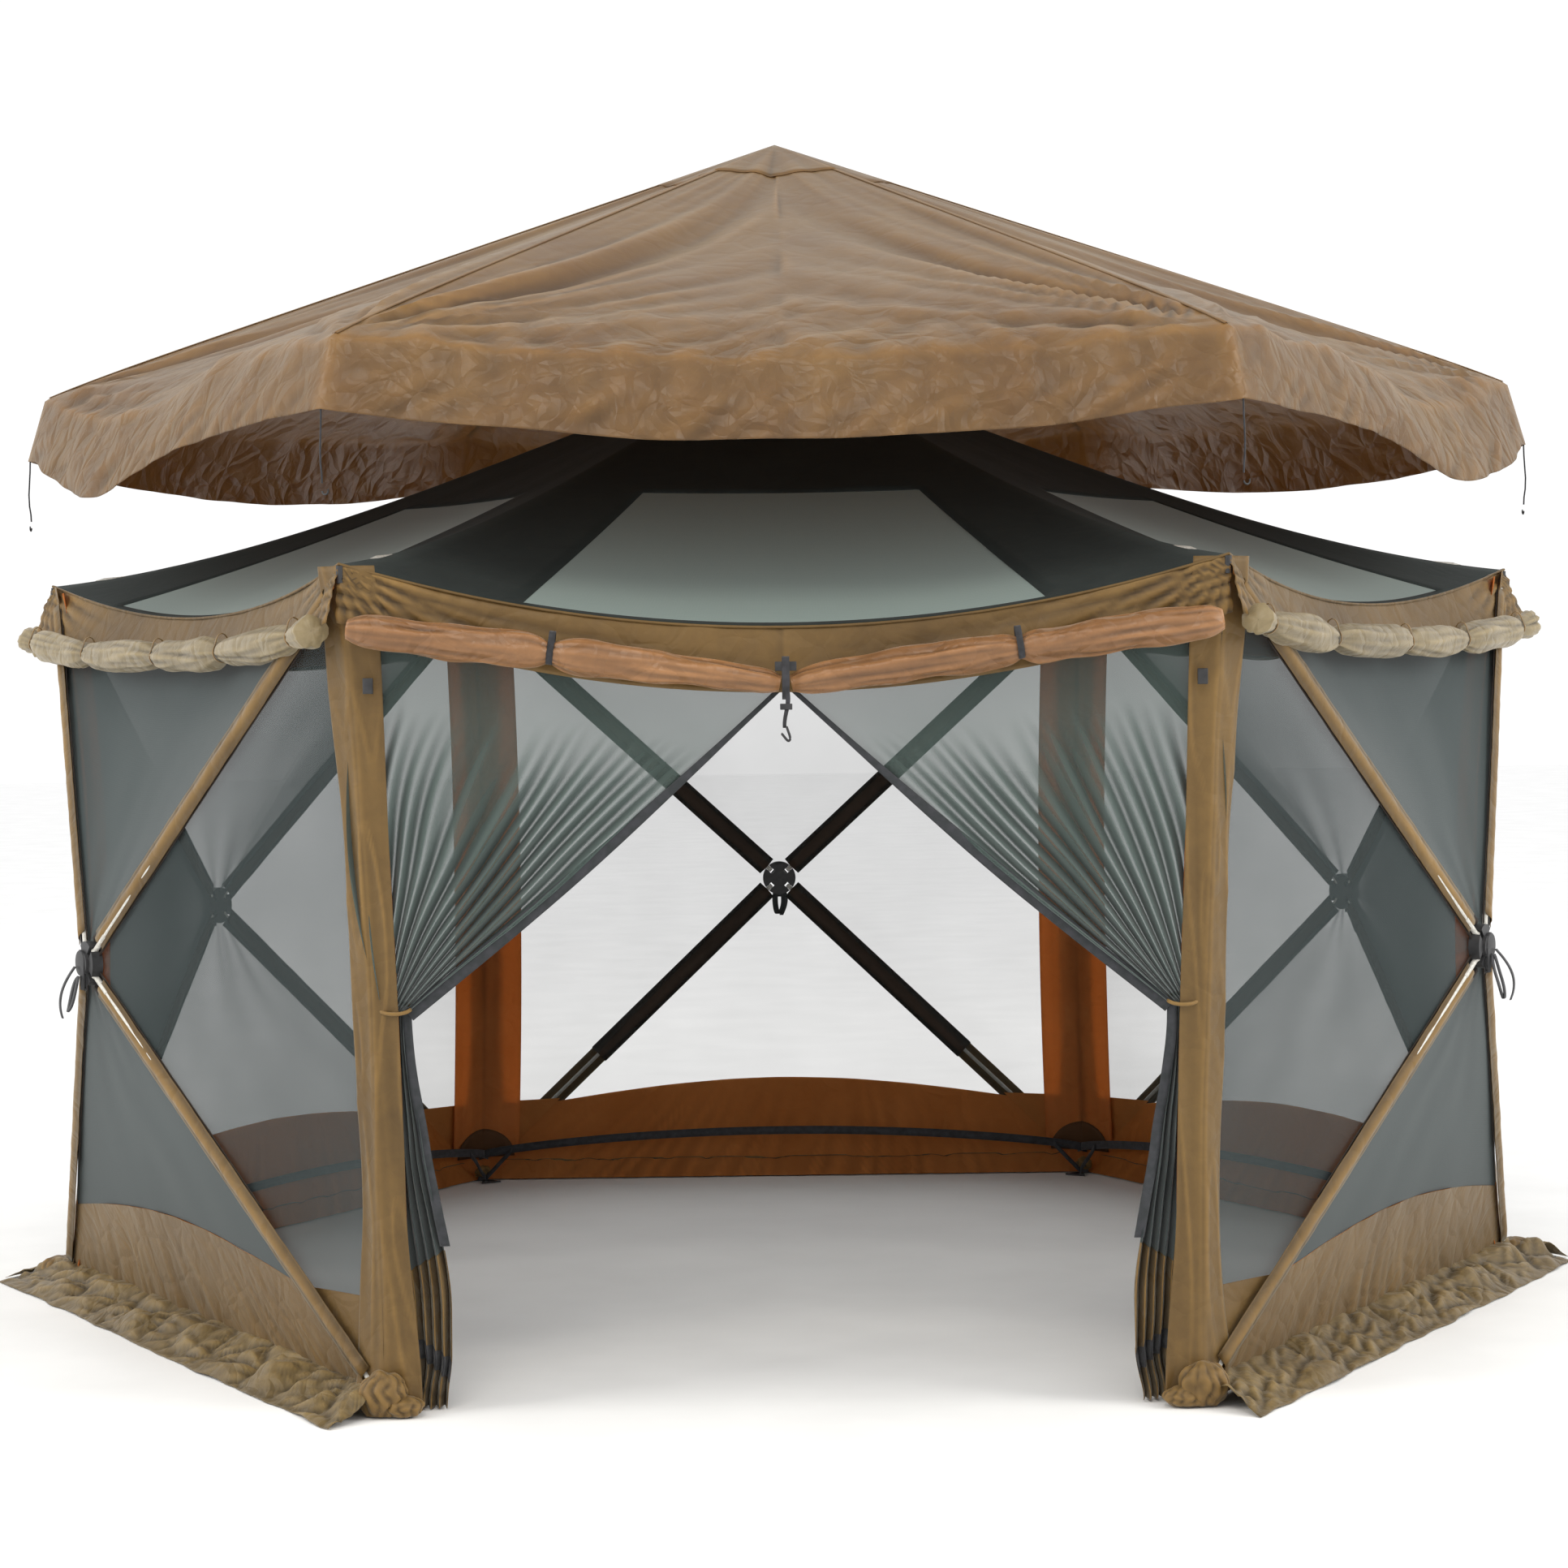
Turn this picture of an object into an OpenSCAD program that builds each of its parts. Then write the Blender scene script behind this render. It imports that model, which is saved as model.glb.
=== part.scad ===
// Six-sided pop-up screen shelter with a separate rain fly lifted above it.
// Millimetres, Z up. Five walls carry a hub with four sprung poles, the sixth is the door.
// Corner 0 is the front left one and corners run anticlockwise seen from above.
// Wall k runs from corner k to corner k + 1, and wall 0 is the door, facing -Y.

/* [Shelter] */
// Length of one side, which is also the distance from the middle to a corner
side_len = 1900; // [1500:10:2300]
// Height of the eave at the corners
eave_h = 1830; // [1500:10:2200]
// Rise of the roof from the eave to the crown
roof_rise = 580; // [500:10:760]
// How far a popped-out wall hub stands outside its wall
hub_out = 254; // [200:2:310]
// Turn of the two front feet towards the door, in degrees
front_toe = 2.4; // [0:0.2:4]

/* [Poles and hubs] */
// Diameter of the fibreglass poles
rod_d = 11; // [8:0.5:13]
// Diameter of the metal ferrule at a pole's inner end
ferrule_d = 13; // [12:0.5:13.5]
// Length of that ferrule
ferrule_len = 62; // [40:2:90]
// Diameter of a hub
hub_d = 104; // [96:2:120]
// Thickness of a hub
hub_t = 26; // [20:1:34]
// Radius of the circle that the pole pins stand on
pin_circle_r = 40; // [38:1:44]
// Diameter of a pole's pin
pin_d = 5; // [4:0.5:6]
// Radial play between a pin and the pole's eye
pin_play = 0.06; // [0.03:0.01:0.09]
// Width of the notch that a pole swings in
notch_w = 15; // [14.5:0.5:18]
// Room left at the open corner end of each pole
corner_room = 25; // [22:1:40]
// Height of the lower pole ends above the ground
foot_z = 30; // [26:1:60]
// Depth of the upper pole ends below the eave
head_drop = 18; // [16:1:40]

/* [Fabric] */
// Thickness of the plain fabric
cloth_t = 1.5; // [1:0.1:3]
// Radius of the opening that a wall hub passes through
hub_hole_r = 82; // [78:1:110]
// Gap between a wall panel and the pole beside it, measured along the wall's edge
panel_gap = 20; // [18:1:40]
// Width of the sleeve strip outside a pole
sleeve_w = 55; // [40:1:70]
// Height of the solid band at the foot of a wall, at the corners
band_h = 235; // [160:5:320]
// Height of the same band in the middle of the wall
band_mid_h = 290; // [200:5:380]
// Width of the skirt that lies on the ground
skirt_w = 150; // [90:5:280]
// Depth of the eave band
eave_band_h = 124; // [90:2:150]
// How far the eave band's lower edge stands out from the wall
eave_flare = 50; // [46:1:60]
// Half width of a corner strip
strip_w = 50; // [35:1:52]
// Sag of the eave in the middle of the door
door_sag = 135; // [60:5:160]
// Depth of the door's eave band in the middle
door_band_h = 145; // [100:5:180]

/* [Rolled panels and door] */
// Diameter of a rolled wind panel
roll_d = 64; // [50:2:70]
// How far a side roll's axis stands outside the wall
roll_out = 92; // [92:1:110]
// Distance from a roll's end to the corner
roll_end = 60; // [50:5:120]
// Diameter of the door's roll
door_roll_d = 60; // [44:2:64]
// Height of the curtain ties
tie_z = 870; // [700:10:1100]
// Length of the strap tail that hangs in the middle of the door
tail_len = 95; // [70:5:130]

/* [Rain fly] */
// Height of the fly's eave above the shelter's eave
fly_lift = 500; // [470:5:700]
// Distance from the middle to a corner of the fly
fly_over = 18; // [14:1:40]
// Rise of the fly from its eave to its peak
fly_rise = 630; // [560:1:760]
// Depth of the fly's valance
fly_drop = 170; // [120:5:180]
// How far the valance flares out
fly_flare = 44; // [40:1:90]
// Radius of the reinforced cap at the peak
cap_r = 265; // [160:5:360]
// Diameter of the elastic cords
cord_d = 4; // [3:0.5:5]

/* [Hidden] */
WALLS = ["right_front", "right_back", "back", "left_back", "left_front"];
CORNERS = ["front_left", "front_right", "right", "back_right", "back_left", "left"];
ENDS = ["bottom_left", "bottom_right", "top_right", "top_left"];

slate = "#3f4a4b";
mesh_grey = "#5c6b6b";
tan_cloth = "#a5854f";
bronze = "#9a7440";
copper = "#a9764f";
black = "#1c1c1e";
rod_col = "#c9c7c1";

R = side_len;
half = R / 2;
apothem = R * cos(30);
crown_z = eave_h + roof_rise;
hub_z = (foot_z + eave_h - head_drop) / 2;
front_reach = apothem + skirt_w;
back_reach = apothem + hub_out + hub_t / 2 + 10;
// The origin is the middle of the footprint, and the walls' own middle lies a little off it.
mid_y = (front_reach - back_reach) / 2;
roll_z = eave_h - eave_band_h - 10 - roll_d / 2;
door_mid_z = eave_h - door_sag - door_band_h;
strip_low = foot_z + strip_w + 20;
strip_high = eave_h - head_drop - strip_w - 22;
skirt_t = 3;
fly_R = R + fly_over;
fly_z = eave_h + fly_lift;
fly_t = 2.5;
tail_out = 84;
// Route of a fly cord down from the hem: outward, downward
cord_route = [[0, 0], [1, 30], [3, 60], [5, 90], [4, 120], [1, 140], [0, 160]];
cord_sides = 8;
cord_top_r = fly_R + fly_flare - 1.5;
cord_end = cord_route[len(cord_route) - 1];

module place() translate([0, mid_y, 0]) children();

function ang(k) = -120 + 60 * k;
function toe(k) = k == 0 ? front_toe : k == 1 ? -front_toe : 0;
function plan_top(k) = R * [cos(ang(k)), sin(ang(k))];
function plan_foot(k) = R * [cos(ang(k) + toe(k)), sin(ang(k) + toe(k))];
function lerp(a, b, t) = a + (b - a) * t;
function unit(v) = v / norm(v);
function flat_pt(p, z) = [p[0], p[1], z];
// Point on the line of corner k at height z
function edge_pt(k, z) =
  flat_pt(lerp(plan_foot(k % 6), plan_top(k % 6), z / eave_h), z);
function along(k) = [cos(60 * k), sin(60 * k), 0];
function outward(k) = [sin(60 * k), -cos(60 * k), 0];
function off(k, p, a, o) = p + a * along(k) + o * outward(k);
// Point inside wall k, a from corner k (or before corner k + 1), o outside it, at height z
function from_a(k, z, a, o) = off(k, edge_pt(k, z), a, o);
function from_b(k, z, a, o) = off(k, edge_pt(k + 1, z), -a, o);
function local(k, p) = [p * along(k), p[2], p * outward(k)];
function pole_target(k, e) =
  e == 0 ? edge_pt(k, foot_z) :
  e == 1 ? edge_pt(k + 1, foot_z) :
  e == 2 ? edge_pt(k + 1, eave_h - head_drop) : edge_pt(k, eave_h - head_drop);
// Middle of a wall's hub, as along, up, outward
function hub_local(k) =
  let (s = [for (e = [0:3]) local(k, pole_target(k, e))])
  let (m = (s[0] + s[1] + s[2] + s[3]) / 4)
  [m[0], hub_z, apothem + hub_out];
function hub_pt(k) =
  let (h = hub_local(k)) h[0] * along(k) + h[2] * outward(k) + [0, 0, h[1]];

// Prism on the flat outline p, from a to a + t along its own normal
module slab(p, t, a = 0) {
  n = len(p);
  v = unit(cross(p[1] - p[0], p[2] - p[1]));
  pts = concat([for (q = p) q + v * a], [for (q = p) q + v * (a + t)]);
  faces = concat(
    [[for (i = [0:n - 1]) i]],
    [[for (i = [n - 1:-1:0]) i + n]],
    [for (i = [0:n - 1]) [i, i + n, (i + 1) % n + n, (i + 1) % n]]
  );
  polyhedron(pts, faces);
}

// Tube along the points p, swept with s sides
module tube(p, r, s) {
  n = len(p);
  function dir(i) = unit(p[min(i + 1, n - 1)] - p[max(i - 1, 0)]);
  pts = [
    for (i = [0:n - 1])
      let (d = dir(i), u = unit(cross(d, [0.6, 0.8, 0])), w = cross(d, u))
      for (j = [0:s - 1]) p[i] + r * (cos(360 * j / s) * u + sin(360 * j / s) * w)
  ];
  faces = concat(
    [[for (j = [0:s - 1]) j]],
    [[for (j = [s - 1:-1:0]) (n - 1) * s + j]],
    [
      for (i = [0:n - 2], j = [0:s - 1])
        [i * s + j, (i + 1) * s + j, (i + 1) * s + (j + 1) % s, i * s + (j + 1) % s]
    ]
  );
  polyhedron(pts, faces);
}

// Cylinder from a to b
module bar(a, b, r, fn = 32) {
  v = b - a;
  translate(a)
    rotate([0, acos(v[2] / norm(v)), atan2(v[1], v[0])])
      cylinder(h = norm(v), r = r, $fn = fn);
}

// ---- poles and hubs ----

// Hub disc with a notch and a pin for each pole, whose directions are the angles in a
module hub_body(a) {
  difference() {
    cylinder(h = hub_t, d = hub_d, center = true, $fn = 96);
    for (t = a) rotate([0, 0, t])
      translate([pin_circle_r - 14, -notch_w / 2, -hub_t])
        cube([hub_d, notch_w, 2 * hub_t]);
  }
  for (t = a) rotate([0, 0, t])
    translate([pin_circle_r, 0, 0])
      rotate([90, 0, 0])
        cylinder(h = notch_w + 8, d = pin_d, center = true, $fn = 48);
}

// Pole of length l with its eye at the origin, lying along +X with the pin along Y
module pole_body(l) {
  eye_d = ferrule_d;
  difference() {
    union() {
      rotate([90, 0, 0])
        cylinder(h = notch_w - 3, d = eye_d, center = true, $fn = 64);
      rotate([0, 90, 0]) cylinder(h = ferrule_len, d = ferrule_d, $fn = 48);
    }
    rotate([90, 0, 0])
      cylinder(h = notch_w, r = pin_d / 2 + pin_play, center = true, $fn = 64);
  }
  translate([ferrule_len, 0, 0])
    rotate([0, 90, 0]) cylinder(h = l - ferrule_len, d = rod_d, $fn = 48);
}

function wall_hub_turns(k) =
  let (h = hub_local(k))
  [for (e = [0:3]) let (c = local(k, pole_target(k, e))) atan2(c[1] - h[1], c[0] - h[0])];

module wall_hub(k) {
  h = hub_local(k);
  color(black) place()
    rotate([90, 0, 60 * k])
      translate([h[0], h[1], h[2]]) {
        hub_body(wall_hub_turns(k));
        translate([0, 0, hub_t / 2]) cylinder(h = 6, d = 48, $fn = 64);
        difference() {
          translate([-12.5, -62, hub_t / 2]) cube([25, 56, 9]);
          translate([-13, -58, hub_t / 2 + 2.5]) cube([26, 34, 4]);
        }
      }
}

module wall_pole(k, e) {
  h = hub_local(k);
  c = local(k, pole_target(k, e));
  flat_len = norm([c[0] - h[0], c[1] - h[1]]) - pin_circle_r;
  color(rod_col) place()
    rotate([90, 0, 60 * k])
      translate([h[0], h[1], h[2]])
        rotate([0, 0, wall_hub_turns(k)[e]])
          translate([pin_circle_r, 0, 0])
            rotate([0, atan2(h[2] - c[2], flat_len), 0])
              pole_body(flat_len - corner_room);
}

roof_hub_z = crown_z - 32;
module roof_hub() {
  color(black) place() translate([0, 0, roof_hub_z]) {
    hub_body([for (k = [0:5]) ang(k)]);
    translate([0, 0, -hub_t / 2 - 6]) cylinder(h = 6, d = 44, $fn = 64);
  }
}

module roof_pole(k) {
  flat_len = R - pin_circle_r;
  fall = roof_hub_z - (eave_h - head_drop);
  color(rod_col) place()
    rotate([0, 0, ang(k)])
      translate([pin_circle_r, 0, roof_hub_z])
        rotate([0, atan2(fall, flat_len), 0])
          pole_body(flat_len - corner_room);
}

// ---- corner pieces ----

module corner_feet() {
  color(black) place() for (k = [0:5])
    translate(edge_pt(k, 0)) {
      cylinder(h = 14, r = 20, $fn = 48);
      cylinder(h = 20, r = 9, $fn = 48);
    }
}

module stake_rings() {
  color(black) place() for (k = [0:5])
    translate(edge_pt(k, 0)) rotate([0, 0, ang(k) + toe(k)])
      translate([0, 0, 1]) linear_extrude(height = 5) difference() {
        polygon([[-26, 0], [-82, -33], [-82, 33]]);
        polygon([[-37, 0], [-77, -24], [-77, 24]]);
      }
}

module top_brackets() {
  color(black) place() for (k = [0:5])
    rotate([0, 0, ang(k)])
      translate([R + 4, 0, eave_h - 42]) cylinder(h = 38, r = 8, $fn = 48);
}

// ---- roof ----

win_top = 0.57;
win_low = 0.985;
win_top_share = 0.60;
win_low_share = 0.60;
function panel_pt(k, u, w) =
  let (c = [0, 0, crown_z], a = edge_pt(k, eave_h), b = edge_pt(k + 1, eave_h))
  lerp(c, lerp(a, b, (1 + w) / 2), u);
function window_outline(k) = [
  panel_pt(k, win_low, -win_low_share), panel_pt(k, win_low, win_low_share),
  panel_pt(k, win_top, win_top_share), panel_pt(k, win_top, -win_top_share)
];

module roof_fabric() {
  color(slate) place() for (k = [0:5])
    difference() {
      slab([panel_pt(k, 1, -1), panel_pt(k, 1, 1), [0, 0, crown_z]], cloth_t);
      slab(window_outline(k), 4 * cloth_t, -cloth_t);
    }
}

module roof_windows() {
  color(mesh_grey) place() for (k = [0:5])
    slab([
      panel_pt(k, win_low - 0.002, -win_low_share + 0.004),
      panel_pt(k, win_low - 0.002, win_low_share - 0.004),
      panel_pt(k, win_top + 0.002, win_top_share - 0.004),
      panel_pt(k, win_top + 0.002, -win_top_share + 0.004)
    ], cloth_t * 0.6);
}

module eave_band() {
  end = 15;
  top = eave_h - 2;
  low = eave_h - eave_band_h;
  color(tan_cloth) place() {
    for (k = [1:5])
      slab([
        from_a(k, low, end, eave_flare), from_b(k, low, end, eave_flare),
        from_b(k, top, end, 4), from_a(k, top, end, 4)
      ], cloth_t);
    for (s = [-1, 1]) {
      corner = s < 0 ? [from_a(0, low, end, 6), from_a(0, top, end, 6)] :
        [from_b(0, low, end, 6), from_b(0, top, end, 6)];
      mid = [
        [s, -apothem - 6, eave_h - door_sag - door_band_h],
        [s, -apothem - 6, eave_h - door_sag]
      ];
      slab(s < 0 ? [corner[0], mid[0], mid[1], corner[1]] :
        [mid[0], corner[0], corner[1], mid[1]], cloth_t);
    }
  }
}

// ---- walls ----

edge_gap = 12;
low_z = 5;
head_z = eave_h - head_drop;
side_gap = edge_gap + panel_gap;
// Triangle a, b, h drawn in from the lines to h by g along a-b
function inset(a, b, h, g) =
  let (l = norm(b - a), d = (b - a) / l, a2 = a + d * g)
  [a2, b - d * g, a2 + (h - a) * (l - 2 * g) / l];
// The four triangles of wall k: bottom, right, top, left
function wall_tri(k, i) =
  let (h = hub_pt(k), top = eave_h - 6)
  i == 0 ? inset(edge_pt(k, low_z), edge_pt(k + 1, low_z), h, 2 * panel_gap) :
  i == 1 ? inset(from_b(k, foot_z, edge_gap, 0), from_b(k, head_z, edge_gap, 0), h, side_gap) :
  i == 2 ? inset(edge_pt(k + 1, top), edge_pt(k, top), h, 2 * panel_gap) :
  inset(from_a(k, head_z, edge_gap, 0), from_a(k, foot_z, edge_gap, 0), h, side_gap);
// Point at height z on the line a-b
function at_z(a, b, z) = lerp(a, b, (z - a[2]) / (b[2] - a[2]));
// Point short of h by the hub's opening
function short_of(a, h) = lerp(a, h, 1 - hub_hole_r / norm(h - a));

module wall_mesh() {
  g = 4;
  color(mesh_grey) place() for (k = [1:5]) {
    t = [for (i = [0:3]) wall_tri(k, i)];
    slab([
      at_z(t[0][0], t[0][2], band_mid_h + g), at_z(t[0][1], t[0][2], band_mid_h + g),
      short_of(t[0][1], t[0][2]), short_of(t[0][0], t[0][2])
    ], cloth_t);
    slab([
      at_z(t[1][0], t[1][1], band_h + g), t[1][1], short_of(t[1][1], t[1][2]),
      short_of(t[1][0], t[1][2]), at_z(t[1][0], t[1][2], band_h + g)
    ], cloth_t);
    slab([
      t[2][0], t[2][1], short_of(t[2][1], t[2][2]), short_of(t[2][0], t[2][2])
    ], cloth_t);
    slab([
      t[3][0], at_z(t[3][1], t[3][0], band_h + g), at_z(t[3][1], t[3][2], band_h + g),
      short_of(t[3][1], t[3][2]), short_of(t[3][0], t[3][2])
    ], cloth_t);
  }
}

module lower_bands() {
  color(tan_cloth) place() for (k = [1:5]) {
    t = [for (i = [0:3]) wall_tri(k, i)];
    slab([
      t[0][0], t[0][1], at_z(t[0][1], t[0][2], band_mid_h),
      at_z(t[0][0], t[0][2], band_mid_h)
    ], cloth_t);
    slab([t[1][0], at_z(t[1][0], t[1][1], band_h), at_z(t[1][0], t[1][2], band_h)], cloth_t);
    slab([t[3][1], at_z(t[3][1], t[3][2], band_h), at_z(t[3][1], t[3][0], band_h)], cloth_t);
  }
}

module ground_skirt() {
  end = 40;
  reach = 0.4 * skirt_w;
  color(tan_cloth) place() for (k = [1:5])
    slab([
      from_a(k, 0, -reach, skirt_w), from_b(k, 0, -reach, skirt_w),
      from_b(k, 0, end, 4), from_a(k, 0, end, 4)
    ], skirt_t);
}

// A strip's half on wall k leans out with that wall, and the door's stays flat
module corner_strips() {
  o = 3;
  m = o * tan(30);
  function lean(k) = k == 0 ? o : o + strip_w * hub_out / half;
  color(tan_cloth) place() for (k = [0:5]) {
    slab([
      from_a(k, strip_low, -m, o), from_a(k, strip_low, strip_w, lean(k)),
      from_a(k, strip_high, strip_w, lean(k)), from_a(k, strip_high, -m, o)
    ], cloth_t);
    j = (k + 5) % 6;
    slab([
      from_b(j, strip_low, strip_w, lean(j)), from_b(j, strip_low, -m, o),
      from_b(j, strip_high, -m, o), from_b(j, strip_high, strip_w, lean(j))
    ], cloth_t);
  }
}

// Strips outside the poles of each wall, from the hub's opening to near the corner
module sleeve_strips() {
  top_far = 1.5 * (head_z - roll_z + roll_d / 2 + 10) + sleeve_w / 2;
  far = [100, 100, top_far, top_far];
  lift = ferrule_d / 2 + 4;
  color(tan_cloth) place() for (k = [1:5]) {
    h = hub_local(k);
    turns = wall_hub_turns(k);
    for (e = [0:3]) {
      c = local(k, pole_target(k, e));
      l = norm([c[0] - h[0], c[1] - h[1]]);
      rotate([90, 0, 60 * k])
        translate([h[0], h[1], h[2]])
          rotate([0, 0, turns[e]])
            translate([pin_circle_r, 0, 0])
              rotate([0, atan2(h[2] - c[2], l - pin_circle_r), 0])
                translate([hub_hole_r - pin_circle_r, -sleeve_w / 2, lift])
                  cube([l - hub_hole_r - far[e], sleeve_w, cloth_t]);
    }
  }
}

// Strap along the foot of each wall, inside it
module ground_strap() {
  end = 45;
  back = -36;
  color(black) place() for (k = [1:5])
    slab([
      from_a(k, 85, end, back), from_b(k, 85, end, back),
      from_b(k, 110, end, back), from_a(k, 110, end, back)
    ], 2);
}

// ---- rolled panels ----

module side_rolls() {
  color(tan_cloth) place() for (k = [1:5])
    bar(from_a(k, roll_z, roll_end, roll_out), from_b(k, roll_z, roll_end, roll_out),
      roll_d / 2, 48);
}

door_roll_out = 48;
door_roll_end_z = eave_h - eave_band_h - 16;
function door_roll_pt(t) =
  let (s = t < 0 ? -1 : 1)
  [t * (half - roll_end), -apothem - door_roll_out,
    lerp(door_mid_z, door_roll_end_z, s * t)];

module door_roll() {
  color(copper) place() for (s = [-1, 1])
    bar(door_roll_pt(0.01 * s), door_roll_pt(s), door_roll_d / 2, 48);
}

// Ring of width w round a bar of diameter d that runs from a to b, at the share t
module tie_ring(a, b, t, d, w) {
  v = unit(b - a);
  p = lerp(a, b, t);
  translate(p)
    rotate([0, acos(v[2]), atan2(v[1], v[0])])
      difference() {
        cylinder(h = w, d = d + 5, center = true, $fn = 64);
        cylinder(h = 2 * w, d = d + 1, center = true, $fn = 64);
      }
}

module roll_ties() {
  color(black) place() {
    for (k = [1:5], t = [0.1, 0.3, 0.5, 0.7, 0.9])
      tie_ring(from_a(k, roll_z, roll_end, roll_out),
        from_b(k, roll_z, roll_end, roll_out), t, roll_d, 12);
    for (s = [-1, 1], t = [0.35, 0.8])
      tie_ring(door_roll_pt(0), door_roll_pt(s), t, door_roll_d, 12);
  }
}

// Side-release buckles on the door's eave band and on the front corner strips
module band_buckles() {
  color(black) place() {
    for (s = [-1, 0, 1]) {
      x = s * 490;
      z = s == 0 ? eave_h - door_sag - door_band_h + 50 :
        eave_h - lerp(door_sag, 0, 490 / half) - 60;
      translate([x - 24, -apothem - 10 - cloth_t - 9, z]) cube([48, 9, 24]);
    }
    for (s = [-1, 1]) {
      p = edge_pt(s < 0 ? 0 : 1, eave_h - 270);
      translate([p[0] - s * 36 - 11, p[1] - 3 - cloth_t - 7.5, p[2]]) cube([22, 7, 34]);
    }
  }
}

// ---- door ----

tie_x = half - 103;
curtain_back = 14;
module door_curtains() {
  y = -apothem + curtain_back;
  edge = half - 40;
  foot = edge_pt(1, 0);
  color(mesh_grey) place() for (s = [-1, 1]) {
    p = [
      [s * 20, y, door_mid_z - 20], [s * tie_x, y, tie_z],
      [s * edge, y, tie_z], [s * edge, y, door_roll_end_z - 40]
    ];
    slab(s > 0 ? p : [p[3], p[2], p[1], p[0]], cloth_t);
    hull() {
      translate([s * (tie_x + 10), y + 40, tie_z - 40]) sphere(r = 32, $fn = 24);
      translate([s * (foot[0] - 75), y + 20, 9]) cylinder(h = 10, r = 55, $fn = 32);
    }
  }
}

module curtain_ties() {
  y = -apothem + curtain_back + 40;
  color(black) place() for (s = [-1, 1])
    translate([s * (tie_x + 10), y, tie_z - 34])
      difference() {
        cylinder(h = 14, r = 44, $fn = 64);
        translate([0, 0, -1]) cylinder(h = 16, r = 41, $fn = 64);
      }
}

// Strap tail with a small hook, hanging in front of the door's roll
module door_tail() {
  y = -apothem - tail_out;
  z = door_mid_z + 6;
  color(black) place() {
    translate([-10, y - 1, z - tail_len]) cube([20, 2, tail_len]);
    translate([-14, y, z]) rotate([0, 90, 0]) cylinder(h = 28, r = 3, $fn = 32);
    translate([-8, y - 3, z - tail_len - 22]) cube([16, 6, 22]);
  }
}

// ---- rain fly ----

// The fly's six roof panels and six valance panels, each a flat sheet with a seam's gap beside it
seam = 1.5;
function fly_corner(k, r, z) = [r * cos(ang(k)), r * sin(ang(k)), z];
module rainfly() {
  color(bronze) place() for (k = [0:5]) {
    t = inset(fly_corner(k, fly_R, fly_z + seam), fly_corner(k + 1, fly_R, fly_z + seam),
      [0, 0, fly_z + fly_rise], seam);
    slab(t, fly_t, -fly_t);
    low = [for (j = [k, k + 1]) fly_corner(j, fly_R + fly_flare, fly_z - fly_drop)];
    top = [for (j = [k, k + 1]) fly_corner(j, fly_R, fly_z - seam)];
    slab([
      low[0] + seam * along(k), low[1] - seam * along(k),
      top[1] - seam * along(k), top[0] + seam * along(k)
    ], fly_t, -fly_t);
  }
}

module fly_cap() {
  f = cap_r / fly_R;
  z = fly_z + fly_rise * (1 - f) + 1;
  h = fly_rise * f;
  color(bronze) place() difference() {
    translate([0, 0, z]) cylinder(h = h, r1 = cap_r, r2 = 8, $fn = 6);
    translate([0, 0, z - 1]) cylinder(h = 1.01, r = cap_r + 1, $fn = 6);
    translate([0, 0, z - 2]) cylinder(h = h + 0.5, r1 = cap_r + 4.5, r2 = 8, $fn = 6);
  }
}

module fly_cord(k) {
  color(black) place() rotate([0, 0, ang(k)])
    tube([for (q = cord_route) [cord_top_r + q[0], 0, fly_z - fly_drop - q[1]]],
      cord_d / 2, cord_sides);
}

module fly_hooks() {
  z = fly_z - fly_drop - cord_end[1];
  color(black) place() for (k = [0:5]) rotate([0, 0, ang(k)])
    translate([cord_top_r + cord_end[0], 0, z]) {
      translate([0, 0, -14]) cylinder(h = 14, r = 4, $fn = 32);
      translate([0, 8, -14]) rotate([0, 90, 0])
        rotate_extrude(angle = -180, $fn = 48) translate([8, 0]) circle(r = 2, $fn = 24);
    }
}

corner_feet();
stake_rings();
top_brackets();
roof_fabric();
roof_windows();
eave_band();
wall_mesh();
lower_bands();
ground_skirt();
corner_strips();
sleeve_strips();
ground_strap();
side_rolls();
door_roll();
roll_ties();
band_buckles();
door_curtains();
curtain_ties();
door_tail();
roof_hub();
rainfly();
fly_cap();
fly_hooks();
for (k = [0:5]) fly_cord(k);
for (k = [0:5]) roof_pole(k);
for (k = [0:4]) wall_hub(k + 1);
for (k = [0:4], e = [0:3])
  wall_pole(k + 1, e);
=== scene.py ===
# %% [markdown]
# # A pop-up screen shelter with its rain fly lifted
# The shelter stands on a hexagon plan. Five walls are mesh screens, each pushed out by a hub with four sprung poles,
# and the sixth wall is a door with two tied-back curtains. The CAD model is the fixed frame: its hubs, poles and
# feet stay where they are, and cloth is built around them here.

# %% Load the frame
import bpy, bmesh, json, math
from mathutils import Vector, Matrix, noise


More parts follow.
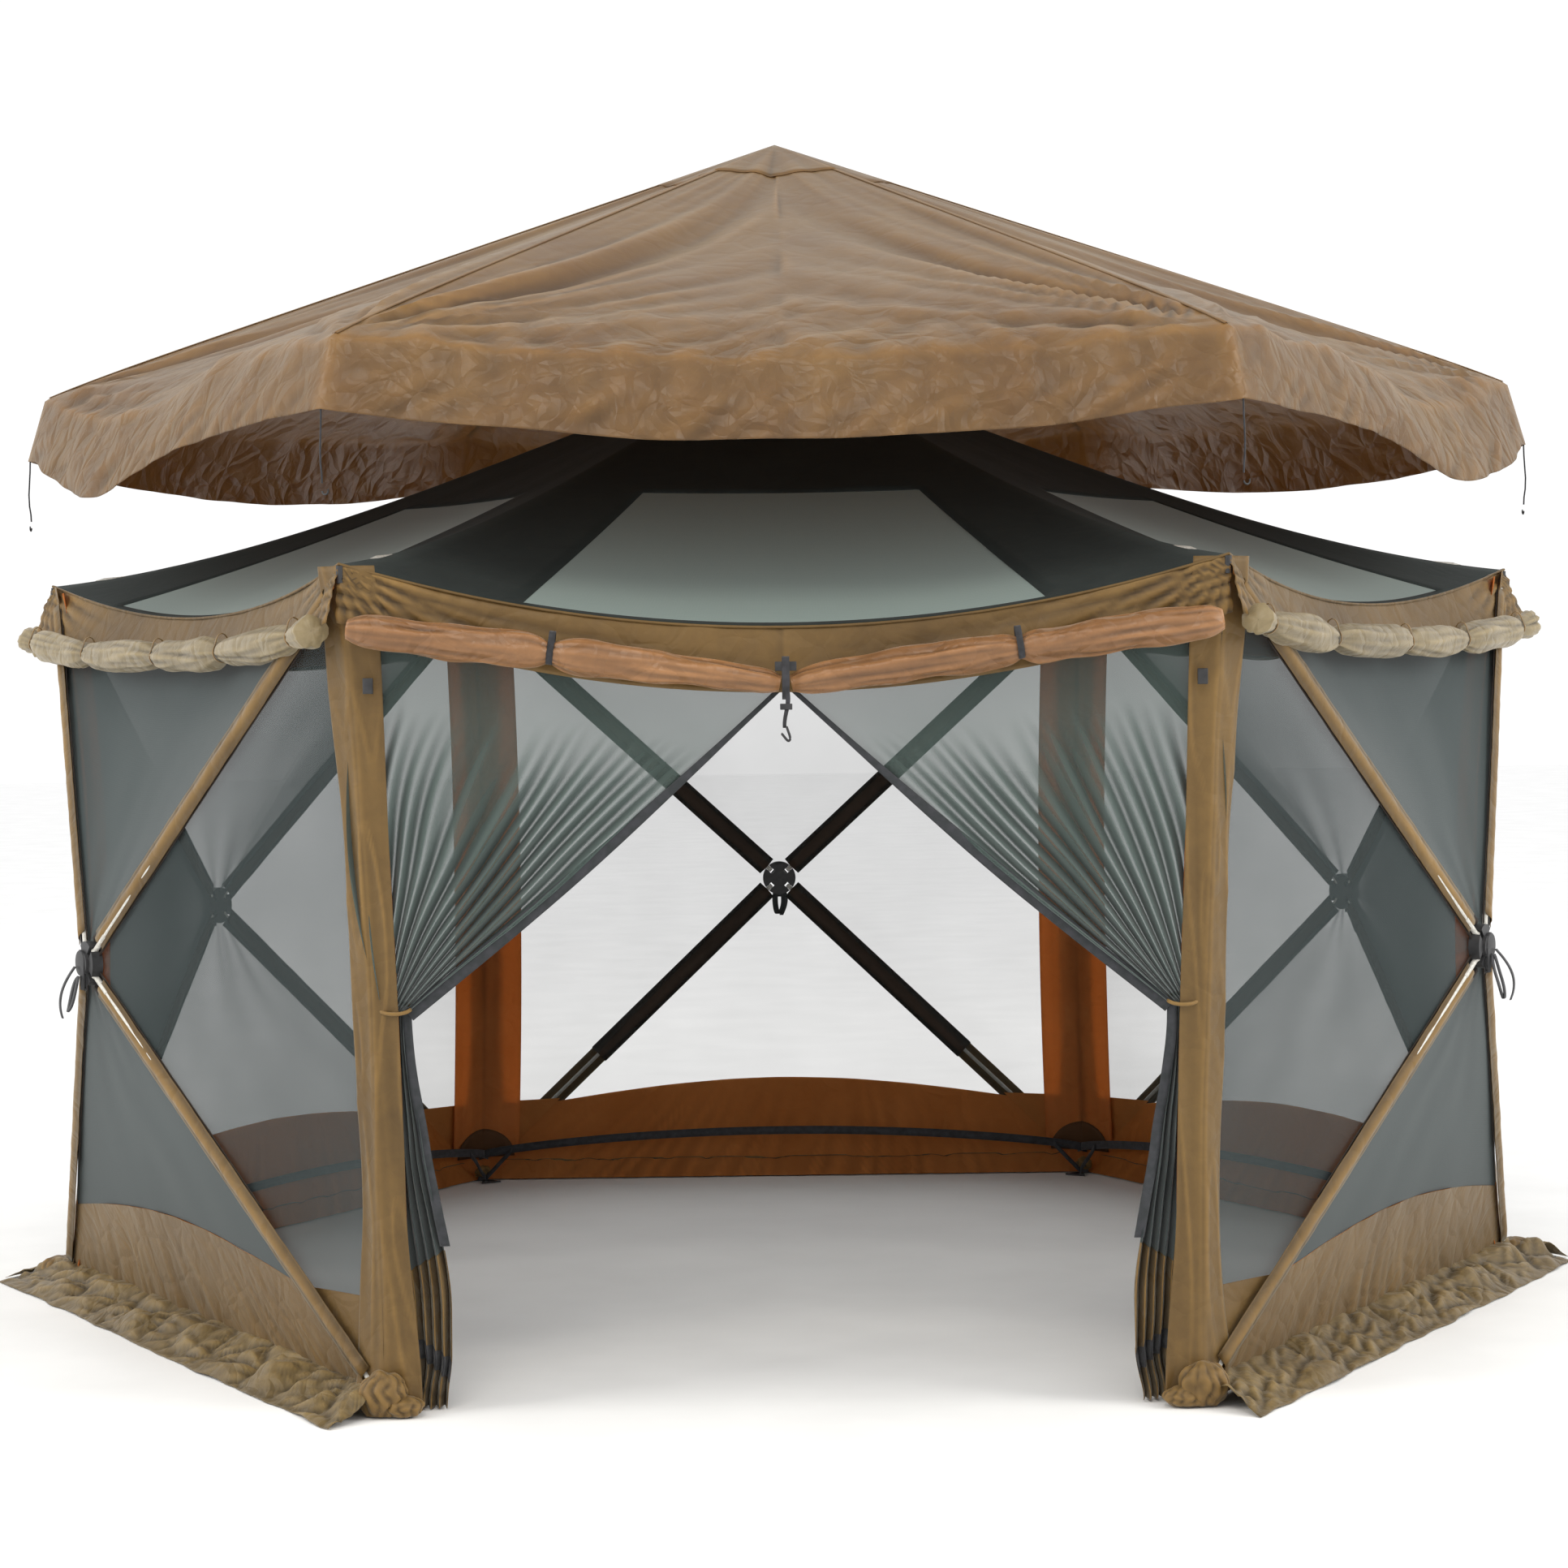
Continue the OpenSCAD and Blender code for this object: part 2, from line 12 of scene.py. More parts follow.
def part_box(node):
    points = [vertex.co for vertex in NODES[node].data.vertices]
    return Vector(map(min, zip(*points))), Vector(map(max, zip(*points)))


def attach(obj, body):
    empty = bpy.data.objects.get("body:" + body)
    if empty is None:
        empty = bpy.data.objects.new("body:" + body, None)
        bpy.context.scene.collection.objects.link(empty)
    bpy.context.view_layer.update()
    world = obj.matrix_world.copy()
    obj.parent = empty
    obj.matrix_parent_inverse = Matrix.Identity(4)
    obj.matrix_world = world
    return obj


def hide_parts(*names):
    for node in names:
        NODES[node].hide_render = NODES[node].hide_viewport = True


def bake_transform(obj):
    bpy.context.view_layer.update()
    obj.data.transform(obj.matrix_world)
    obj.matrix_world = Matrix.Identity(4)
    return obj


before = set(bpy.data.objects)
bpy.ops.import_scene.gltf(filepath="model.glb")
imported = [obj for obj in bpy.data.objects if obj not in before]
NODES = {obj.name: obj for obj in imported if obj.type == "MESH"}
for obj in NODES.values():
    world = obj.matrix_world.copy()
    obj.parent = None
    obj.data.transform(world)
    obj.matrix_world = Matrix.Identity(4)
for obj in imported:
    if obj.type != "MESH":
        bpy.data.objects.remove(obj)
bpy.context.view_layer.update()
bpy.ops.object.select_all(action="DESELECT")

# %% [markdown]
# The sizes that the cloth must follow come from the CAD nodes: the corner brackets give the plan and the eave. The
# points that each wall is pushed out to lie a given distance beyond its side.

# %% Sizes of the frame
bracket_lo, bracket_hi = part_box("top_brackets")
MID = (bracket_lo.y + bracket_hi.y) / 2
SIDE = bracket_hi.x - 0.012
EAVE = bracket_hi.z + 0.004
APOTHEM = SIDE * math.cos(math.radians(30))
TOE = 2.4
FOOT_Z, HEAD_DROP = 0.030, 0.018
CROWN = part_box("roof_fabric")[1].z - 0.0015
WALLS = ["door", "right_front", "right_back", "back", "left_back", "left_front"]
CORNERS = ["front_left", "front_right", "right", "back_right", "back_left", "left"]
ENDS = ["bottom_left", "bottom_right", "top_right", "top_left"]
UP = Vector((0, 0, 1))


def ray(degrees):
    return Vector((math.cos(math.radians(degrees)), math.sin(math.radians(degrees)), 0))


def turn(k):
    return -120 + 60 * (k % 6)


def lerp(a, b, t):
    return a + (b - a) * t


def smooth(t):
    t = min(max(t, 0.0), 1.0)
    return t * t * (3 - 2 * t)


def middle(z=0.0):
    return Vector((0, MID, z))


def corner(k, z):
    """Straight line between foot and eave of corner k, at height z."""
    k %= 6
    toe = TOE if k == 0 else -TOE if k == 1 else 0
    p = lerp(ray(turn(k) + toe), ray(turn(k)), z / EAVE) * SIDE
    return middle(z) + p


def along(k):
    return ray(60 * k)


def outward(k):
    return ray(60 * k - 90)


def wall(k, s, z, out=0.0):
    return lerp(corner(k, z), corner(k + 1, z), s) + outward(k) * out


print("side", round(SIDE, 3), "eave", round(EAVE, 3), "crown", round(CROWN, 3), "middle y", round(MID, 4))

# %% [markdown]
# The camera stands a little below eye height, nine metres in front of the door, with a moderately long lens, so the
# hexagon reads with little distortion. It looks down by about two degrees and is turned a hair about its own axis.

# %% Camera
def look(position, yaw, pitch, roll):
    forward = Vector((math.sin(yaw) * math.cos(pitch), math.cos(yaw) * math.cos(pitch), -math.sin(pitch)))
    right = Vector((math.cos(yaw), -math.sin(yaw), 0))
    up = right.cross(forward)
    r = right * math.cos(roll) + up * math.sin(roll)
    u = up * math.cos(roll) - right * math.sin(roll)
    m = Matrix((r, u, -forward)).transposed().to_4x4()
    m.translation = position
    return m


lens_data = bpy.data.cameras.new("camera")
camera = bpy.data.objects.new("camera", lens_data)
bpy.context.scene.collection.objects.link(camera)
lens_data.sensor_width = 36.0
lens_data.lens = 77.8
lens_data.clip_end = 200
camera.matrix_world = look(Vector((-0.030 * SIDE, MID - 4.696 * SIDE, 0.8457 * SIDE)), 0.007, 0.0357, -0.0119)
bpy.context.scene.camera = camera
print("camera at", tuple(round(x, 3) for x in camera.location))

# %% [markdown]
# ## Materials
# Every finish is named for the real material. Colours are given as they look on screen and turned to linear here.
# One small function adds a node with its settings and links.

# %% Colour and node helpers
def colour(text, alpha=1.0):
    c = [int(text[i:i + 2], 16) / 255 for i in (1, 3, 5)]
    return tuple([x / 12.92 if x <= 0.04045 else ((x + 0.055) / 1.055) ** 2.4 for x in c] + [alpha])


def add(tree, kind, settings=None, **inputs):
    """Adds a node. settings are its properties, inputs are numbers, colours or sockets by input name."""
    n = tree.nodes.new(kind)
    for key, value in (settings or {}).items():
        setattr(n, key, value)
    for key, value in inputs.items():
        socket = n.inputs[int(key[1:])] if key[0] == "i" and key[1:].isdigit() else n.inputs[key.replace("_", " ")]
        if isinstance(value, bpy.types.NodeSocket):
            tree.links.new(value, socket)
        else:
            socket.default_value = value
    return n


def new_material(name):
    m = bpy.data.materials.new(name)
    m.use_nodes = True
    m.node_tree.nodes.clear()
    return m, m.node_tree


def ramp(tree, value, stops):
    n = add(tree, "ShaderNodeValToRGB", None, Fac=value)
    r = n.color_ramp
    r.elements[0].position, r.elements[0].color = stops[0]
    r.elements[1].position, r.elements[1].color = stops[-1]
    for p, c in stops[1:-1]:
        e = r.elements.new(p)
        e.color = c
    return n


def out(tree, shader):
    add(tree, "ShaderNodeOutputMaterial", None, Surface=shader)


# %% [markdown]
# Coated polyester cloth is a fine plain weave with a thin waterproof coat. The eye sees a soft sheen, a faint
# ripstop grid and many small creases left by packing. The real threads are a quarter of a millimetre apart, which is
# too fine to show, so the grid is drawn every 9 mm and the creases carry the surface.

# %% Woven, coated cloth
def cloth(name, base, worn, crease=0.5, crumple=0.3, sheen=0.25, rough=0.55, gloss=0.3, tint="#ffffff",
          through=0.0, glow=None, rough_below=None):
    """rough_below = (height, height): between them the crumpling grows to its full strength, as it does near a hem."""
    m, t = new_material(name)
    co = add(t, "ShaderNodeTexCoord")
    uv = add(t, "ShaderNodeUVMap", {"uv_map": "cloth"})
    tone = add(t, "ShaderNodeTexNoise", None, Vector=co.outputs["Object"], Scale=2.3, Detail=5.0, Roughness=0.6)
    fine = add(t, "ShaderNodeTexNoise", None, Vector=co.outputs["Object"], Scale=38.0, Detail=4.0, Roughness=0.65)
    mixed = add(t, "ShaderNodeMath", {"operation": "MULTIPLY_ADD"}, i0=fine.outputs["Fac"], i1=0.35,
                i2=tone.outputs["Fac"])
    shade = ramp(t, mixed.outputs[0], [(0.42, colour(worn)), (0.88, colour(base))])
    # Painted shade and painted highlight: the colour is darkened in the valleys between folds and lightened on the
    # crests, from a hollowness value that each piece carries.
    hollow = add(t, "ShaderNodeAttribute", {"attribute_name": "hollow"})
    depth = add(t, "ShaderNodeMapRange", None, Value=hollow.outputs["Fac"], From_Min=-1.0, From_Max=1.0,
                To_Min=1.22, To_Max=0.30)
    shade = add(t, "ShaderNodeVectorMath", {"operation": "SCALE"}, i0=shade.outputs[0], Scale=depth.outputs[0])
    # Long soft creases, then a net of sharp ones with flat facets between them.
    long_ones = add(t, "ShaderNodeTexNoise", {"noise_type": "RIDGED_MULTIFRACTAL"}, Vector=co.outputs["Object"],
                    Scale=4.5, Detail=5.0, Roughness=0.5, Lacunarity=2.2)
    bent = add(t, "ShaderNodeTexNoise", None, Vector=co.outputs["Object"], Scale=5.0, Detail=2.0)
    push = add(t, "ShaderNodeVectorMath", {"operation": "MULTIPLY_ADD"}, i0=bent.outputs["Color"],
               i1=(0.16, 0.16, 0.16), i2=co.outputs["Object"])
    facets = add(t, "ShaderNodeTexVoronoi", {"feature": "DISTANCE_TO_EDGE"}, Vector=push.outputs[0], Scale=11.0)
    facet_height = add(t, "ShaderNodeMapRange", None, Value=facets.outputs["Distance"], From_Min=0.0, From_Max=0.22)
    small = add(t, "ShaderNodeTexVoronoi", {"feature": "DISTANCE_TO_EDGE"}, Vector=push.outputs[0], Scale=27.0)
    both = add(t, "ShaderNodeMath", {"operation": "MULTIPLY_ADD"}, i0=small.outputs["Distance"], i1=0.8,
               i2=facet_height.outputs[0])
    thread = add(t, "ShaderNodeMapping", None, Vector=uv.outputs[0], Scale=(110, 110, 1))
    grid = add(t, "ShaderNodeTexBrick", {"offset": 0.0}, Vector=thread.outputs[0], Scale=1.0, Mortar_Size=0.05,
               Mortar_Smooth=0.4, Brick_Width=1.0, Row_Height=1.0)
    low = add(t, "ShaderNodeBump", None, Strength=crease, Distance=0.012, Height=long_ones.outputs["Fac"])
    net = add(t, "ShaderNodeBump", None, Strength=crumple, Distance=0.010, Height=both.outputs[0],
              Normal=low.outputs[0])
    if rough_below:
        parts = add(t, "ShaderNodeSeparateXYZ", None, Vector=co.outputs["Object"])
        mask = add(t, "ShaderNodeMapRange", {"interpolation_type": "SMOOTHSTEP"}, Value=parts.outputs["Z"],
                   From_Min=rough_below[0], From_Max=rough_below[1], To_Min=crumple, To_Max=crumple * 0.12)
        t.links.new(mask.outputs[0], net.inputs["Strength"])
    weave = add(t, "ShaderNodeBump", None, Strength=0.2, Distance=0.0006, Height=grid.outputs["Fac"],
                Normal=net.outputs[0])
    roughness = add(t, "ShaderNodeMapRange", None, Value=fine.outputs["Fac"], To_Min=rough - 0.08, To_Max=rough + 0.10)
    b = add(t, "ShaderNodeBsdfPrincipled", None, Base_Color=shade.outputs[0], Roughness=roughness.outputs[0],
            Normal=weave.outputs[0])
    b.inputs["Sheen Weight"].default_value = sheen
    b.inputs["Sheen Roughness"].default_value = 0.4
    b.inputs["Sheen Tint"].default_value = colour(tint)
    b.inputs["Specular IOR Level"].default_value = gloss
    if through:
        lit = add(t, "ShaderNodeBsdfTranslucent", None, Color=colour(glow or base), Normal=weave.outputs[0])
        mix = add(t, "ShaderNodeMixShader", None, i0=through, i1=b.outputs[0], i2=lit.outputs[0])
        out(t, mix.outputs[0])
    else:
        out(t, b.outputs[0])
    return m


fly_cloth = cloth("polyester_bronze_coated", "#8a6838", "#704f29", crease=0.30, crumple=0.60, sheen=0.20, rough=0.38,
                  gloss=0.60, tint="#fff4d8", through=0.30, glow="#c09560", rough_below=(2.10, 2.46))
tan_cloth = cloth("polyester_coyote_tan", "#826536", "#654d28", crease=0.35, crumple=0.22, sheen=0.22, rough=0.50,
                  gloss=0.35, tint="#fbfbee", through=0.08, glow="#a8773c")
# The inner face of the tan cloth: its bright orange colour is painted light shining through the cloth, and the
# translucent part lets real light through as well.
tan_inner_face_painted_backlight = cloth("polyester_tan_inner_face_painted_backlight", "#e09350", "#c67838", crease=0.35, crumple=0.25, sheen=0.0, rough=0.6,
                     gloss=0.2, through=0.50, glow="#f5ad68")
copper_cloth = cloth("polyester_copper_face", "#936840", "#76502d", crease=0.35, crumple=0.5, sheen=0.25, rough=0.40,
                     gloss=0.5, tint="#ffe6d0")
roll_cloth = cloth("polyester_rolled_panel_sand", "#8c7d5e", "#6e6042", crease=0.3, crumple=0.35, sheen=0.3, rough=0.45,
                   gloss=0.45, tint="#fff6e6")
slate_cloth = cloth("polyester_slate_roof", "#3c4342", "#2f3534", crease=0.12, crumple=0.04, sheen=0.03, rough=0.75,
                    gloss=0.12)
# The inner sleeves are the tan sleeve cloth. Their dark brown colour is painted shade.
tan_sleeve_painted_shade = cloth("polyester_tan_sleeve_painted_shade", "#40332a", "#2b221b", crease=0.3, crumple=0.2, sheen=0.05,
                     rough=0.65, gloss=0.2)
skirt_cloth = cloth("polyester_tan_ground_skirt", "#806b42", "#5c4b2e", crease=0.3, crumple=0.45, sheen=0.2, rough=0.5,
                    gloss=0.4, tint="#fff2dd")

# %% [markdown]
# The insect screen is a knitted mesh. Seen square on it is almost clear, and seen at a slant the threads close up, as
# they do on a real screen, because the same threads cover more of each line of sight. The share of light that
# passes is the square-on share raised to one over the cosine of the slant, and a little more for the knit's depth.

# %% Knitted insect screen
def screen(name, threads, clear, weave=0.006, crease=0.15):
    m, t = new_material(name)
    co = add(t, "ShaderNodeTexCoord")
    uv = add(t, "ShaderNodeUVMap", {"uv_map": "cloth"})
    slant = add(t, "ShaderNodeLayerWeight", None, Blend=0.5)
    cosine = add(t, "ShaderNodeMath", {"operation": "SUBTRACT"}, i0=1.0, i1=slant.outputs["Facing"])
    safe = add(t, "ShaderNodeMath", {"operation": "MAXIMUM"}, i0=cosine.outputs[0], i1=0.06)
    path = add(t, "ShaderNodeMath", {"operation": "POWER"}, i0=safe.outputs[0], i1=-2.3)
    drift = add(t, "ShaderNodeTexNoise", None, Vector=co.outputs["Object"], Scale=3.0, Detail=4.0)
    base = add(t, "ShaderNodeMapRange", None, Value=drift.outputs["Fac"], From_Min=0.3, From_Max=0.7,
               To_Min=clear - 0.02, To_Max=clear + 0.02)
    passed = add(t, "ShaderNodeMath", {"operation": "POWER"}, i0=base.outputs[0], i1=path.outputs[0])
    knit_map = add(t, "ShaderNodeMapping", None, Vector=uv.outputs[0], Scale=(1 / weave, 1 / weave, 1))
    knit = add(t, "ShaderNodeTexVoronoi", {"feature": "F1"}, Vector=knit_map.outputs[0], Scale=1.0, Randomness=0.25)
    bump = add(t, "ShaderNodeBump", None, Strength=0.3, Distance=0.0008, Height=knit.outputs["Distance"])
    soft = add(t, "ShaderNodeBump", None, Strength=crease, Distance=0.01, Height=drift.outputs["Fac"],
               Normal=bump.outputs[0])
    b = add(t, "ShaderNodeBsdfPrincipled", None, Base_Color=colour(threads), Roughness=0.7, Normal=soft.outputs[0])
    b.inputs["Sheen Weight"].default_value = 0.2
    b.inputs["Specular IOR Level"].default_value = 0.25
    gap = add(t, "ShaderNodeBsdfTransparent", None)
    mix = add(t, "ShaderNodeMixShader", None, i0=passed.outputs[0], i1=b.outputs[0], i2=gap.outputs[0])
    out(t, mix.outputs[0])
    return m


wall_screen = screen("knitted_screen_wall", "#2a3637", 0.72)
roof_screen = screen("knitted_screen_roof", "#788783", 0.36)
door_screen = screen("knitted_screen_door", "#465450", 0.36, crease=0.3)
bundle_screen = screen("knitted_screen_gathered", "#2c3837", 0.10, crease=0.4)

# %% [markdown]
# Straps are polyester webbing, moulded pieces are nylon, the poles are pultruded fibreglass with a pale gel coat.

# %% Webbing, nylon and fibreglass
def webbing(name, base):
    m, t = new_material(name)
    co = add(t, "ShaderNodeTexCoord")
    twill = add(t, "ShaderNodeTexWave", {"bands_direction": "DIAGONAL"}, Vector=co.outputs["Object"],
                Scale=180.0, Distortion=0.6)
    tone = add(t, "ShaderNodeTexNoise", None, Vector=co.outputs["Object"], Scale=60.0, Detail=3.0)
    shade = ramp(t, tone.outputs["Fac"], [(0.35, colour(base)), (0.8, colour("#34343a"))])
    bump = add(t, "ShaderNodeBump", None, Strength=0.4, Distance=0.0006, Height=twill.outputs["Fac"])
    b = add(t, "ShaderNodeBsdfPrincipled", None, Base_Color=shade.outputs[0], Roughness=0.75, Normal=bump.outputs[0])
    b.inputs["Sheen Weight"].default_value = 0.15
    out(t, b.outputs[0])
    return m


def moulded(name, base, rough):
    m, t = new_material(name)
    co = add(t, "ShaderNodeTexCoord")
    grain = add(t, "ShaderNodeTexNoise", None, Vector=co.outputs["Object"], Scale=900.0, Detail=2.0)
    wear = add(t, "ShaderNodeTexNoise", None, Vector=co.outputs["Object"], Scale=35.0, Detail=4.0)
    shade = ramp(t, wear.outputs["Fac"], [(0.3, colour(base)), (0.85, colour("#3a3a3c"))])
    bump = add(t, "ShaderNodeBump", None, Strength=0.15, Distance=0.0004, Height=grain.outputs["Fac"])
    roughness = add(t, "ShaderNodeMapRange", None, Value=wear.outputs["Fac"], To_Min=rough - 0.08, To_Max=rough + 0.12)
    b = add(t, "ShaderNodeBsdfPrincipled", None, Base_Color=shade.outputs[0], Roughness=roughness.outputs[0],
            Normal=bump.outputs[0])
    out(t, b.outputs[0])
    return m


def pole_finish(name, base, worn):
    m, t = new_material(name)
    co = add(t, "ShaderNodeTexCoord")
    streak = add(t, "ShaderNodeTexNoise", None, Vector=co.outputs["Object"], Scale=120.0, Detail=5.0, Roughness=0.7)
    shade = ramp(t, streak.outputs["Fac"], [(0.35, colour(worn)), (0.7, colour(base))])
    bump = add(t, "ShaderNodeBump", None, Strength=0.2, Distance=0.0003, Height=streak.outputs["Fac"])
    b = add(t, "ShaderNodeBsdfPrincipled", None, Base_Color=shade.outputs[0], Roughness=0.32, Normal=bump.outputs[0])
    b.inputs["Coat Weight"].default_value = 0.3
    out(t, b.outputs[0])
    return m


black_webbing = webbing("polyester_webbing_black", "#17171a")
black_nylon = moulded("nylon_moulded_black", "#161618", 0.45)
ring_steel = moulded("steel_powder_coated_black", "#101012", 0.35)
zip_tape = webbing("zip_tape_dark", "#1f2426")
pole_gel = pole_finish("fibreglass_pale_gel_coat", "#d8d6cf", "#aeaba3")
for n, m in {"corner_feet": black_nylon, "stake_rings": ring_steel, "top_brackets": black_nylon,
             "roof_hub": black_nylon,
             "fly_hooks": black_nylon}.items():
    NODES[n].data.materials.clear()
    NODES[n].data.materials.append(m)
for n, o in NODES.items():
    if n.startswith("hub_") or n.startswith("pole_") or n.startswith("roof_pole_"):
        o.data.materials.clear()
        o.data.materials.append(black_nylon if n.startswith("hub_") else pole_gel)
print("materials", len(bpy.data.materials))

# %% [markdown]
# ## Tools for cloth
# A sheet of cloth starts as a flat grid whose points are then placed one by one on a curved surface, as a pattern
# maker drapes a panel. Its own UV map holds its size in metres, so a weave keeps its scale.

# %% Sheet helpers
def settle(piece, name, body, slot_name, *materials):
    piece.name = name
    piece.data.name = name
    if materials:
        piece.data.materials.clear()
        for m in materials:
            piece.data.materials.append(m)
    if body:
        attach(piece, body)
    return piece


def grid_sheet(name, nu, nv, place, width, height, facing=None):
    """A grid of nu by nv faces, each point set by place(u, v) with u and v from 0 to 1."""
    bpy.ops.object.select_all(action="DESELECT")
    bpy.ops.mesh.primitive_grid_add(x_subdivisions=nu, y_subdivisions=nv, size=1, calc_uvs=True)
    o = bpy.context.active_object
    o.name = name
    me = o.data
    flat = [(v.co.x + 0.5, v.co.y + 0.5) for v in me.vertices]
    layer = me.uv_layers[0]
    layer.name = "cloth"
    for loop in me.loops:
        u, v = flat[loop.vertex_index]
        layer.data[loop.index].uv = (u * width, v * height)
    for vert, (u, v) in zip(me.vertices, flat):
        vert.co = place(u, v)
    if facing is not None:
        total = Vector()
        for p in me.polygons:
            total += p.normal * p.area
        if total.dot(facing) < 0:
            me.flip_normals()
    me.shade_smooth()
    return o


def modify(o, kind, **settings):
    bpy.ops.object.select_all(action="DESELECT")
    o.select_set(True)
    bpy.context.view_layer.objects.active = o
    mod = o.modifiers.new(kind.title(), kind)
    for k, v in settings.items():
        setattr(mod, k, v)
    bpy.ops.object.modifier_apply(modifier=mod.name)
    return o


def thicken(o, t=0.0015, inner=None):
    """Gives a sheet its thickness inward, and its inner face the second material."""
    hollows(o)
    return modify(o, "SOLIDIFY", thickness=t, offset=-1.0, use_even_offset=False, material_offset=1 if inner else 0,
                  material_offset_rim=0)


def wave(x, y=0.0, z=0.0, seed=0.0):
    return noise.noise(Vector((x + seed * 17.3, y - seed * 5.1, z + seed * 3.7)))


def ridges(x, y, z=0.0, seed=0.0):
    """Sharp folds with soft valleys between them, from -1 to 1."""
    return 1 - 2 * abs(wave(x, y, z, seed)) ** 0.7


def merged(o, dist=0.0002):
    bm = bmesh.new()
    bm.from_mesh(o.data)
    bmesh.ops.remove_doubles(bm, verts=bm.verts, dist=dist)
    bm.to_mesh(o.data)
    bm.free()
    return o


def hollows(o, gain=1.0):
    """Stores how hollow the surface is at each point, -1 on a crest and 1 in a valley, smoothed over its neighbours.
    The cloth materials use it to paint shade into the valleys and a highlight onto the crests.
    """
    bm = bmesh.new()
    bm.from_mesh(o.data)
    bm.normal_update()
    raw = {}
    for v in bm.verts:
        total = sum((e.other_vert(v).co - v.co).normalized().dot(v.normal) for e in v.link_edges)
        raw[v.index] = total / max(len(v.link_edges), 1)
    soft = {v.index: (raw[v.index] + sum(raw[e.other_vert(v).index] for e in v.link_edges)) / (1 + len(v.link_edges))
            for v in bm.verts}
    values = [max(-1.0, min(1.0, soft[v.index] * 9 * gain)) for v in bm.verts]
    bm.free()
    layer = o.data.attributes.new("hollow", "FLOAT", "POINT")
    layer.data.foreach_set("value", values)
    return o


def area_of(o):
    return sum(p.area for p in o.data.polygons)

# %% [markdown]
# ## Curves that the cloth follows
# The eave hangs in a shallow curve between the corner poles, deeper over the door. Each corner seam is pulled
# inward half way up by the tension of the walls. The roof ridges are hollow, because the sprung roof poles are
# drawn down by the cloth.

# %% Curves of the cloth
SAG = [0.146, 0.100, 0.100, 0.100, 0.100, 0.100]
PULL = [0.020, 0.040, 0.040, 0.040, 0.040, 0.040]
SEAM_PULL = [0.030, 0.030, 0.062, 0.050, 0.050, 0.062]
HUB_OUT = 0.254


def seam(k, z):
    """The corner seam of corner k at height z, pulled towards the middle of the plan."""
    t = z / EAVE
    return corner(k, z) - ray(turn(k)) * SEAM_PULL[k % 6] * 4 * t * (1 - t)


def eave(k, s):
    sag = 4 * s * (1 - s)
    return wall(k, s, EAVE) - UP * SAG[k] * sag - outward(k) * PULL[k] * sag


def ridge_rise(t):
    """Height of a roof ridge above the eave, t being 0 at the eave and 1 at the crown."""
    return (CROWN - EAVE) * t - t * (1 - t) * (0.38 - 0.31 * t)


def roof_point(k, s, t, lift=0.0):
    edge = eave(k, s)
    p = lerp(edge, middle(), t)
    p.z = EAVE + ridge_rise(t) - (EAVE - edge.z) * (1 - t) ** 4.5 + lift
    return p


def hub_point(k):
    return middle((FOOT_Z + EAVE - HEAD_DROP) / 2) + outward(k) * (APOTHEM + HUB_OUT)


def panel_point(k, edge_point, t, lift=0.0):
    """A wall panel's point between its outer edge and the hub."""
    h = hub_point(k)
    p = lerp(edge_point, h, t)
    return p + outward(k) * (0.3 * HUB_OUT * (smooth(t) - t) + lift)


print("hub of the back wall", tuple(round(x, 3) for x in hub_point(3)))

# %% [markdown]
# ## Elastic cords of the fly
# Each corner of the fly has an elastic cord that ends in a hook. Their route runs along the CAD cords: out of the
# valance's corner, down, with a slight wander.

# %% Fly cords
FLY_R = SIDE + 0.018
FLY_Z = EAVE + 0.500
FLY_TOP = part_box("rainfly")[1].z
CORD_TOP, CORD_END = FLY_Z - 0.170, FLY_Z - 0.170 - 0.160
FLARE = 0.044
CORD_R = FLY_R + FLARE - 0.0015
wander = [(0, 0), (0.001, 0.030), (0.003, 0.060), (0.005, 0.090), (0.004, 0.120), (0.001, 0.140), (0, 0.160)]
cord_pieces = []
for k in range(6):
    c = bpy.data.curves.new("fly_elastic_" + CORNERS[k], "CURVE")
    c.dimensions = "3D"
    sp = c.splines.new("POLY")
    sp.points.add(len(wander) - 1)
    for p, (o, d) in zip(sp.points, wander):
        p.co = (*(middle(CORD_TOP - d) + ray(turn(k)) * (CORD_R + o)), 1)
    c.bevel_depth = 0.002
    c.bevel_resolution = 3
    c.use_fill_caps = True
    o = bpy.data.objects.new(c.name, c)
    bpy.context.scene.collection.objects.link(o)
    c.materials.append(black_webbing)
    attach(o, "fly")
    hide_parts("fly_cord_" + CORNERS[k])
    cord_pieces.append(o)
print("cords", len(cord_pieces), "of", wander[-1][1], "m")

# %% [markdown]
# ## Roof
# The roof is one skin of dark cloth with a screen window low in each of its six panels. Each panel is three patches
# of cloth round the window, and the window lies in the hole between them.

# %% Roof cloth and windows
# How far up the panel a window begins and ends, and its share of the panel's width
W_LOW, W_TOP, WINDOW_SHARE = 0.012, 0.430, 0.60


def roof_wave(k, s, t):
    """Drag lines that run from the corners towards the crown."""
    edge = min(s, 1 - s)
    return 0.004 * wave(s * 9, t * 3, k, 2) * math.sin(math.pi * min(t * 1.3, 1)) * (0.3 + edge)


